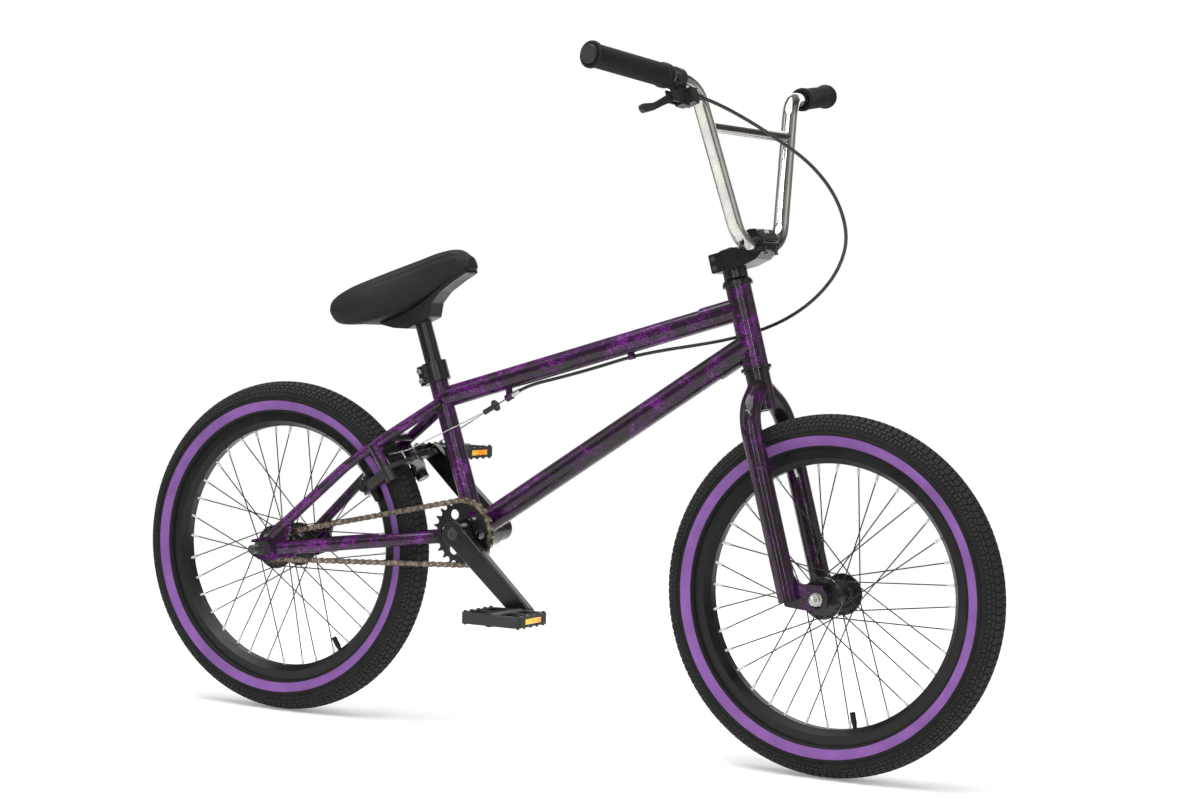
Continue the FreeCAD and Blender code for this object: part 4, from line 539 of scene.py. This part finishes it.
def make_tyre(end, body, finishes):
    low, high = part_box(f"{end}_tyre")
    hub = Vector(((low.x + high.x) / 2, 0, (low.z + high.z) / 2))
    profile = tyre_profile()
    points, faces = lathe(profile, hub, Vector((0, 1, 0)), Vector((1, 0, 0)), TYRE_TURN_STEPS)
    marks = []
    count = len(profile)
    for k in range(len(faces)):
        i = k % count
        j = (i + 1) % count
        radius = (profile[i][0] + profile[j][0]) / 2
        side = abs(profile[i][1] + profile[j][1]) / 2
        violet = BAND[0] < radius < BAND[1] and side > VIOLET_SIDE
        marks.append(1 if violet else 2 if radius > TREAD_START else 0)
    carcass = new_object(f"{end}_tyre_carcass", points, faces, finishes, marks)

    points, faces = [], []
    step = 2 * math.pi / TREAD_PITCHES
    for k in range(TREAD_PITCHES):
        for side in (-1, 1):
            for first, last, slats, shift, gap in TREAD_ROWS:
                angles = (side * math.radians(first), side * math.radians(last))
                for part in range(slats):
                    edges = (gap / 2, 1 - gap / 2)
                    turns = [step * (k + (part + edge) / slats + shift * side) for edge in edges]
                    tread_block(points, faces, hub, angles, turns)
    tread = new_object(f"{end}_tyre_tread", points, faces, finishes[2:], smooth=False)
    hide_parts(f"{end}_tyre")
    for item in (carcass, tread):
        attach(item, body)


# ---------------------------------------------------------------------------
# Grips
# ---------------------------------------------------------------------------

GRIP_END = Vector((0.2564969, 0.374, 0.9862748))
GRIP_AXIS = Vector((0.1978999, -0.9750055, -0.1010949)).normalized()
GRIP_LENGTH = 0.160
GRIP_RADIUS = 0.016
BAR_RADIUS = 0.0111


def grip_profile():
    """Outer end flange, a fine-ribbed sleeve and a collar at the inner end."""
    outside = [
        (BAR_RADIUS + 0.0002, 0.0),
        (GRIP_RADIUS + 0.0013, 0.0),
        (GRIP_RADIUS + 0.0023, 0.0006),
        (GRIP_RADIUS + 0.0025, 0.0016),
        (GRIP_RADIUS + 0.0025, 0.0044),
        (GRIP_RADIUS + 0.0018, 0.0056),
        (GRIP_RADIUS + 0.0006, 0.0064),
        (GRIP_RADIUS - 0.0004, 0.0078),
    ]
    ribs = 58
    first, last = 0.009, GRIP_LENGTH - 0.016
    pitch = (last - first) / ribs
    for k in range(ribs):
        place = first + k * pitch
        outside += [
            (GRIP_RADIUS - 0.0009, place),
            (GRIP_RADIUS - 0.0001, place + pitch * 0.22),
            (GRIP_RADIUS, place + pitch * 0.5),
            (GRIP_RADIUS - 0.0001, place + pitch * 0.78),
        ]
    outside += [
        (GRIP_RADIUS - 0.0009, last),
        (GRIP_RADIUS - 0.0006, GRIP_LENGTH - 0.0118),
        (GRIP_RADIUS + 0.001, GRIP_LENGTH - 0.0112),
        (GRIP_RADIUS + 0.0015, GRIP_LENGTH - 0.0102),
        (GRIP_RADIUS + 0.0015, GRIP_LENGTH - 0.0052),
        (GRIP_RADIUS + 0.0006, GRIP_LENGTH - 0.0046),
        (GRIP_RADIUS + 0.0006, GRIP_LENGTH - 0.0040),
        (GRIP_RADIUS + 0.0014, GRIP_LENGTH - 0.0034),
        (GRIP_RADIUS + 0.0012, GRIP_LENGTH - 0.0006),
        (GRIP_RADIUS + 0.0004, GRIP_LENGTH),
        (BAR_RADIUS + 0.0002, GRIP_LENGTH),
    ]
    return outside


def make_grips(finish):
    for name, side in (("left", 1), ("right", -1)):
        place = Vector((GRIP_END.x, side * GRIP_END.y, GRIP_END.z))
        axis = Vector((GRIP_AXIS.x, side * GRIP_AXIS.y, GRIP_AXIS.z))
        points, faces = lathe(grip_profile(), place, axis, Vector((0, 0, 1)), 96)
        if side < 0:
            faces = [tuple(reversed(f)) for f in faces]
        grip = new_object(f"grip_{name}", points, faces, [finish])
        if side > 0:
            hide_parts("grips")
        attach(grip, "steering")


# ---------------------------------------------------------------------------
# Saddle
# ---------------------------------------------------------------------------

SADDLE_PLACE = Vector((-0.384, 0, 0.625))
SADDLE_TILT = math.radians(21)
SADDLE_ROWS = [
    (11, 40, 12, -12),
    (24, 56, 20, -26),
    (55, 67, 25, -38),
    (90, 66, 26, -43),
    (130, 50, 27, -41),
    (170, 33, 27, -33),
    (210, 24, 26, -22),
    (240, 20, 19, -19),
    (254, 12, 4, -17),
]

# half of the pad's section: shares of the half width, with shares of the height down from the top,
SADDLE_SHOULDER = ((0.32, 0.02), (0.62, 0.085), (0.86, 0.24), (0.98, 0.45), (1.0, 0.66))
# then with shares of the height up from the bottom
SADDLE_SKIRT = ((0.95, 0.15), (0.8, 0.02), (0.45, 0.01))
SADDLE_INSET = 0.3
SADDLE_RING_POINTS = 144
SADDLE_STEPS = 110
SEAM_SHARE = 0.17  # where the seam and the lower lip run, as shares of the way round the section
LIP_SHARE = 0.37
CAP_LEVELS = 5
REAR_BULGE = 5.0
NOSE_BULGE = 2.5
STITCH_LENGTH = 0.0026
STITCH_PITCH = 0.004
STITCH_SIDES = 6
# a stitch's thickness along it, as (share of its length, radius)
STITCH_SHAPE = ((0, 0.00008), (0.2, 0.00028), (0.8, 0.00028), (1, 0.00008))


def smooth_table(rows, place):
    """A row of the table at any place, by Catmull-Rom curves through its rows."""
    k = max(0, min(len(rows) - 2, sum(1 for r in rows if r[0] <= place) - 1))
    before, here = rows[max(0, k - 1)], rows[k]
    ahead, after = rows[k + 1], rows[min(len(rows) - 1, k + 2)]
    t = (place - here[0]) / (ahead[0] - here[0])
    result = []
    for i in range(1, len(here)):
        run = ahead[0] - here[0]
        slope_here = (ahead[i] - before[i]) / max(1, ahead[0] - before[0]) * run
        slope_ahead = (after[i] - here[i]) / max(1, after[0] - here[0]) * run
        value = (2 * t**3 - 3 * t**2 + 1) * here[i] + (t**3 - 2 * t**2 + t) * slope_here
        result.append(value + (3 * t**2 - 2 * t**3) * ahead[i] + (t**3 - t**2) * slope_ahead)
    return result


def closed_curve(points, count):
    """Evenly numbered points on a closed Catmull-Rom curve through the given ones."""
    result = []
    total = len(points)
    for k in range(count):
        spot = k * total / count
        i = int(spot)
        t = spot - i
        p = [Vector(points[(i + j - 1) % total]) for j in range(4)]
        result.append(
            0.5 * (2 * p[1] + (p[2] - p[0]) * t + (2 * p[0] - 5 * p[1] + 4 * p[2] - p[3]) * t**2
                   + (3 * p[1] - p[0] - 3 * p[2] + p[3]) * t**3)
        )
    return result


def saddle_ring(half, top, bottom, count):
    """The pad's cross-section as (side, height) points, crowned on top with pulled-in sides."""
    high = top - bottom
    side = [(share, top - drop * high) for share, drop in SADDLE_SHOULDER]
    side += [(share, bottom + rise * high) for share, rise in SADDLE_SKIRT]
    ring = [(0, top, 0)] + [(s * half, z, 0) for s, z in side]
    ring += [(0, bottom + 0.02 * high, 0)] + [(-s * half, z, 0) for s, z in reversed(side)]
    return closed_curve(ring, count)


def saddle_places():
    """Places along the pad, closer together near its ends."""
    first, last = SADDLE_ROWS[0][0], SADDLE_ROWS[-1][0]
    shares = [k / SADDLE_STEPS for k in range(SADDLE_STEPS + 1)]
    return [first + (last - first) * (0.5 - 0.5 * math.cos(math.pi * share)) for share in shares]


def seam_depth(place, away, girth):
    """How far the cover draws in at the seam's groove and the lower lip, less its swell by the seam."""
    near = (away - SEAM_SHARE) * girth
    ends = min(1, max(0, (place - 20) / 18)) * min(1, max(0, (248 - place) / 14))
    groove = 1.15 * math.exp(-((near / 1.5) ** 2)) * ends
    swell = 0.35 * math.exp(-(((abs(near) - 5) / 3.2) ** 2)) * ends
    lip = 0.9 * math.exp(-(((away - LIP_SHARE) * girth / 1.6) ** 2)) * ends
    return groove + lip - swell


def make_saddle(cover, thread):
    turn = Matrix.Rotation(-SADDLE_TILT, 3, "Y")
    count = SADDLE_RING_POINTS
    steps = SADDLE_STEPS

    def placed(x, y, z):
        return SADDLE_PLACE + turn @ Vector((x / 1000, y / 1000, z / 1000))

    rings = []
    for place in saddle_places():
        half, top, bottom = smooth_table(SADDLE_ROWS, place)
        ring = saddle_ring(half - SADDLE_INSET, top - SADDLE_INSET, bottom + SADDLE_INSET, count)
        rings.append((place, half, top, bottom, ring))
    points = []
    seam_lines = {1: [], -1: []}
    for place, half, top, bottom, ring in rings:
        middle = Vector((0, (top + bottom) / 2, 0))
        for k, p in enumerate(ring):
            around = k / count
            side = 1 if around < 0.5 else -1
            away = min(around, 1 - around)
            inward = (middle - p).normalized()
            q = p + inward * seam_depth(place, away, 2 * (half + (top - bottom)))
            points.append(placed(place, q.x, q.y))
            if abs(away - SEAM_SHARE) < 0.5 / count and 26 < place < 240:
                seam_lines[side].append(placed(place, p.x - inward.x * 0.05, p.y - inward.y * 0.05))
    faces = []
    for i in range(steps):
        for k in range(count):
            j = (k + 1) % count
            faces.append((i * count + k, i * count + j, (i + 1) * count + j, (i + 1) * count + k))
    for index, (place, half, top, bottom, ring) in ((0, rings[0]), (steps, rings[-1])):
        outward = -1 if index == 0 else 1
        previous = index * count
        for level in range(1, CAP_LEVELS + 1):
            share = 1 - (level / CAP_LEVELS) ** 1.6 * 0.999
            bulge = outward * math.sin(math.acos(share)) * (REAR_BULGE if index == 0 else NOSE_BULGE)
            base = len(points)
            middle = (top + bottom) / 2
            for p in ring:
                points.append(placed(place + bulge, p.x * share, middle + (p.y - middle) * share))
            for k in range(count):
                j = (k + 1) % count
                quad = (previous + k, previous + j, base + j, base + k)
                faces.append(quad if index else tuple(reversed(quad)))
            previous = base
        faces.append(tuple(previous + k for k in (range(count) if index else reversed(range(count)))))
    pad = new_object("saddle_cover", points, faces, [cover])
    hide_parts("saddle_pad")
    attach(pad, "seat")
    make_stitches(seam_lines, thread)


def make_stitches(lines, thread):
    """Short raised threads in a row along each seam of the saddle's cover."""
    points, faces = [], []
    for line in lines.values():
        lengths = [0.0]
        for a, b in zip(line, line[1:]):
            lengths.append(lengths[-1] + (b - a).length)

        def at(distance):
            k = max(0, min(len(line) - 2, sum(1 for x in lengths if x <= distance) - 1))
            share = (distance - lengths[k]) / max(1e-9, lengths[k + 1] - lengths[k])
            return line[k].lerp(line[k + 1], share)

        place = 0.002
        while place < lengths[-1] - STITCH_PITCH:
            a, b = at(place), at(place + STITCH_LENGTH)
            way = (b - a).normalized()
            side = way.cross(Vector((0, 1, 0))).normalized()
            other = way.cross(side)
            base = len(points)
            for share, radius in STITCH_SHAPE:
                centre = a.lerp(b, share)
                for k in range(STITCH_SIDES):
                    turn = 2 * math.pi * k / STITCH_SIDES
                    points.append(centre + (side * math.cos(turn) + other * math.sin(turn)) * radius)
            for level in range(len(STITCH_SHAPE) - 1):
                low = base + level * STITCH_SIDES
                high = low + STITCH_SIDES
                for k in range(STITCH_SIDES):
                    j = (k + 1) % STITCH_SIDES
                    faces.append((low + k, low + j, high + j, high + k))
            place += STITCH_PITCH
    item = new_object("saddle_stitches", points, faces, [thread])
    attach(item, "seat")


# ---------------------------------------------------------------------------
# Chain
# ---------------------------------------------------------------------------

CHAIN_PITCH = 0.0127
CHAIN_LINKS = 72
CHAIN_LINE = -0.0415
SPROCKET_TEETH = 24
DRIVER_TEETH = 9
PLATE_RADIUS = 0.0043
PLATE_WAIST = 0.0026
PLATE_THICKNESS = 0.00105
PLATE_GAP = 0.0017
PLATE_ARC = 220  # degrees of each round end
PLATE_ARC_STEPS = 10
PLATE_CLEARANCE = 0.0001
PIN_OVERHANG = 0.0006
ROLLER_RADIUS = 0.003875
PIN_RADIUS = 0.0018


def pitch_radius(teeth):
    return CHAIN_PITCH / (2 * math.sin(math.pi / teeth))


def chain_stretches(distance):
    """Half the wrap angle round the sprocket, and the links counted at the end of each stretch."""
    step = pitch_radius(SPROCKET_TEETH) - pitch_radius(DRIVER_TEETH)
    half_wrap = math.acos(-step / distance)
    run = math.sqrt(distance**2 - step**2) / CHAIN_PITCH
    after_sprocket = half_wrap / math.pi * SPROCKET_TEETH
    after_driver = after_sprocket + run + (1 - half_wrap / math.pi) * DRIVER_TEETH
    return half_wrap, after_sprocket, after_sprocket + run, after_driver, after_driver + run


def chain_pins(rear, crank):
    """The chain's pins in order round both toothed wheels, the first on top of the sprocket."""
    slope = math.atan2(crank.z - rear.z, crank.x - rear.x)
    half_wrap, after_sprocket, at_driver, after_driver, closed = chain_stretches((crank - rear).length)

    def spot(centre, teeth, angle):
        return centre + Vector((math.cos(angle), 0, math.sin(angle))) * pitch_radius(teeth)

    pins = []
    for count in range(CHAIN_LINKS):
        along = count * closed / CHAIN_LINKS
        if along <= after_sprocket:
            pins.append(spot(crank, SPROCKET_TEETH, slope + half_wrap - along * 2 * math.pi / SPROCKET_TEETH))
        elif along <= at_driver:
            start = spot(crank, SPROCKET_TEETH, slope - half_wrap)
            end = spot(rear, DRIVER_TEETH, slope - half_wrap)
            pins.append(start.lerp(end, (along - after_sprocket) / (at_driver - after_sprocket)))
        elif along <= after_driver:
            turn = slope - half_wrap - (along - at_driver) * 2 * math.pi / DRIVER_TEETH
            pins.append(spot(rear, DRIVER_TEETH, turn))
        else:
            start = spot(rear, DRIVER_TEETH, slope + half_wrap)
            end = spot(crank, SPROCKET_TEETH, slope + half_wrap)
            pins.append(start.lerp(end, (along - after_driver) / (closed - after_driver)))
    return pins


def plate_outline(length):
    """A link plate with two round ends and a waist, as (along, up) points."""
    outline = []
    for centre, middle in ((length, 0), (0.0, 180)):
        for k in range(PLATE_ARC_STEPS + 1):
            turn = math.radians(middle + PLATE_ARC * (k / PLATE_ARC_STEPS - 0.5))
            outline.append((centre + PLATE_RADIUS * math.cos(turn), PLATE_RADIUS * math.sin(turn)))
        side = 1 if centre else -1
        outline.append((length / 2, side * PLATE_WAIST))
    return outline


def extruded(outline, place, along, low, high):
    """Points and faces of an outline in the plane of the chain, from one side place to another."""
    up = Vector((-along.z, 0, along.x))
    points = []
    for side in (low, high):
        points += [place + along * a + up * b + Vector((0, side, 0)) for a, b in outline]
    count = len(outline)
    faces = [tuple(reversed(range(count))), tuple(range(count, 2 * count))]
    faces += [(k, (k + 1) % count, count + (k + 1) % count, count + k) for k in range(count)]
    return points, faces


def make_chain(plates, pins_finish):
    low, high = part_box("rear_rim")
    rear = Vector(((low.x + high.x) / 2, CHAIN_LINE, (low.z + high.z) / 2))
    low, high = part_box("crank_spindle")
    crank = Vector(((low.x + high.x) / 2, CHAIN_LINE, (low.z + high.z) / 2))
    pins = chain_pins(rear, crank)
    points, faces, marks = [], [], []

    def add(piece, mark):
        base = len(points)
        points.extend(piece[0])
        faces.extend(tuple(base + k for k in face) for face in piece[1])
        marks.extend([mark] * len(piece[1]))

    def disc(radius, sides=16):
        return [(radius * math.cos(2 * math.pi * k / sides), radius * math.sin(2 * math.pi * k / sides))
                for k in range(sides)]

    for k, here in enumerate(pins):
        ahead = pins[(k + 1) % CHAIN_LINKS]
        along = (ahead - here).normalized()
        inner = k % 2 == 0
        start = PLATE_GAP if inner else PLATE_GAP + PLATE_THICKNESS + PLATE_CLEARANCE
        outline = plate_outline((ahead - here).length)
        for side in (-1, 1):
            ends = sorted((side * start, side * (start + PLATE_THICKNESS)))
            add(extruded(outline, here, along, *ends), 0)
        reach = PLATE_GAP + 2 * PLATE_THICKNESS + PIN_OVERHANG
        add(extruded(disc(PIN_RADIUS), here, along, -reach, reach), 1)
        add(extruded(disc(ROLLER_RADIUS), here, along, -PLATE_GAP, PLATE_GAP), 1)
    chain = new_object("chain_links", points, faces, [plates, pins_finish], marks, smooth=False)
    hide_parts("chain")
    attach(chain, "frame")


# ---------------------------------------------------------------------------
# Brake cable
# ---------------------------------------------------------------------------

CABLE_RADIUS = 0.0025
CABLE_ROUTE = [
    (0.31874, -0.1705, 0.9447),
    (0.32689, -0.14515, 0.94008),
    (0.364, -0.116, 0.918),
    (0.405, -0.098, 0.891),
    (0.444, -0.076, 0.861),
    (0.473, -0.05, 0.817),
    (0.48, -0.022, 0.764),
    (0.458, 0.002, 0.719),
    (0.418, 0.023, 0.679),
    (0.368, 0.038, 0.647),
    (0.318, 0.045, 0.626),
    (0.274, 0.036, 0.612),
    (0.232, 0.019, 0.602),
    (0.186, 0.006, 0.593),
    (0.133, 0.0, 0.581),
    (0.075, 0.0, 0.562),
    (0.016, 0.0, 0.5448),
    (-0.04114, 0.0, 0.52984),
    (-0.05829, 0.0, 0.51954),
]


def route_points(route):
    """The smooth line of a route, as points close together."""
    curve = bpy.data.curves.new("route", "CURVE")
    curve.dimensions = "3D"
    spline = curve.splines.new("NURBS")
    spline.points.add(len(route) - 1)
    for spot, place in zip(spline.points, route):
        spot.co = (*place, 1)
    spline.order_u = 3
    spline.use_endpoint_u = True
    curve.resolution_u = 14
    item = bpy.data.objects.new("route", curve)
    SCENE.collection.objects.link(item)
    mesh = bpy.data.meshes.new_from_object(item)
    points = [v.co.copy() for v in mesh.vertices]
    bpy.data.objects.remove(item)
    bpy.data.meshes.remove(mesh)
    return points


def tube(line, radius, sides=14):
    """Points and faces of a round tube along a line of points, its ends closed."""
    points, faces = [], []
    side = (line[1] - line[0]).cross(Vector((0.3, 0.2, 1))).normalized()
    for k, centre in enumerate(line):
        way = (line[min(k + 1, len(line) - 1)] - line[max(k - 1, 0)]).normalized()
        side = (side - way * side.dot(way)).normalized()
        other = way.cross(side)
        for j in range(sides):
            turn = 2 * math.pi * j / sides
            points.append(centre + (side * math.cos(turn) + other * math.sin(turn)) * radius)
    for k in range(len(line) - 1):
        for j in range(sides):
            i = (j + 1) % sides
            faces.append((k * sides + j, k * sides + i, (k + 1) * sides + i, (k + 1) * sides + j))
    faces.append(tuple(reversed(range(sides))))
    faces.append(tuple((len(line) - 1) * sides + j for j in range(sides)))
    return points, faces


def make_cable(finish):
    line = route_points(CABLE_ROUTE)
    points, faces = tube(line, CABLE_RADIUS)
    cable = new_object("brake_cable_housing", points, faces, [finish])
    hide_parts("brake_cable")
    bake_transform(cable)


# ---------------------------------------------------------------------------
# Everything together
# ---------------------------------------------------------------------------


def paint(finish, *names):
    for name in names:
        slots = NODES[name].material_slots
        for k in range(len(slots)):
            slots[k].link = "OBJECT"
            slots[k].material = finish


def main():
    make_camera()
    make_studio()
    make_floor()
    purple = (0.15, 0.017, 0.20)
    frame_paint = splatter_paint("frame_paint", purple, 0.004)
    fork_paint = splatter_paint("fork_paint", (0.10, 0.015, 0.13), -0.035)
    down_paint = splatter_paint("down_tube_paint", purple, -0.016)
    paint(frame_paint, "head_tube", "top_tube", "seat_tube", "bottom_bracket_shell",
          "chainstays", "seatstays")
    paint(down_paint, "down_tube")
    paint(fork_paint, "steerer", "fork_legs")
    paint(chrome(), "handlebar")
    satin = dark_metal("satin_black", 0.011, 0.42)
    gloss = dark_metal("gloss_black", 0.004, 0.28, coat=0.3)
    paint(gloss, "headset_cups", "headset_spacers", "stem", "stem_cap", "steerer_cap",
          "seat_clamp", "seat_post")
    paint(satin, "lever_bracket", "brake_lever", "brake_arm_right", "brake_arm_left", "brake_yoke")
    paint(gloss, "crank_right", "crank_left", "sprocket")
    paint(dark_metal("rim_black", 0.004, 0.34, coat=0.0), "front_rim", "rear_rim")
    paint(dark_metal("hub_black", 0.011, 0.28, coat=0.5), "front_hub", "rear_hub")
    steel = bright_metal("plated_steel", (0.66, 0.65, 0.62), 0.28)
    paint(steel, "sealed_bearings", "front_axle", "front_axle_nuts", "seat_clamp_bolts",
          "crank_spindle", "pedal_axles", "straddle_wires", "barrel_adjuster", "rear_driver")
    paint(dark_metal("bolt_black", 0.03, 0.3), "stem_bolts", "crank_bolts", "rear_axle", "rear_axle_nuts")
    make_chain(chain_steel(), bright_metal("pin_steel", (0.5, 0.43, 0.34), 0.3))
    pedal = moulded("pedal_plastic", 0.013, 0.45)
    paint(pedal, "pedal_right", "pedal_left", "bar_plugs")
    paint(moulded("shell_plastic", 0.006, 0.38), "saddle_shell")
    paint(reflector(), "pedal_reflectors_right", "pedal_reflectors_left")
    pad_rubber = rubber("pad_rubber", 0.013)
    paint(pad_rubber, "brake_pad_right", "brake_pad_left", "front_inner_tube", "rear_inner_tube")
    tread = rubber("tyre_tread", 0.021, 0.74)
    wall = rubber("tyre_wall", 0.005, 0.6, 0.0001)
    band = rubber("tyre_violet", 1.0, 0.62, 0.00012, (0.19, 0.082, 0.285))
    for end, body in (("front", "front_wheel"), ("rear", "rear_wheel")):
        low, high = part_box(f"{end}_rim")
        paint(spoke_finish(f"{end}_spoke_wire", (low + high) / 2), f"{end}_spokes")
        make_tyre(end, body, [wall, band, tread])
    make_grips(rubber("grip_rubber", 0.010, 0.6))
    make_saddle(vinyl(), rubber("seam_thread", 0.03, 0.6))
    make_cable(moulded("cable_sleeve", 0.012, 0.32))


main()
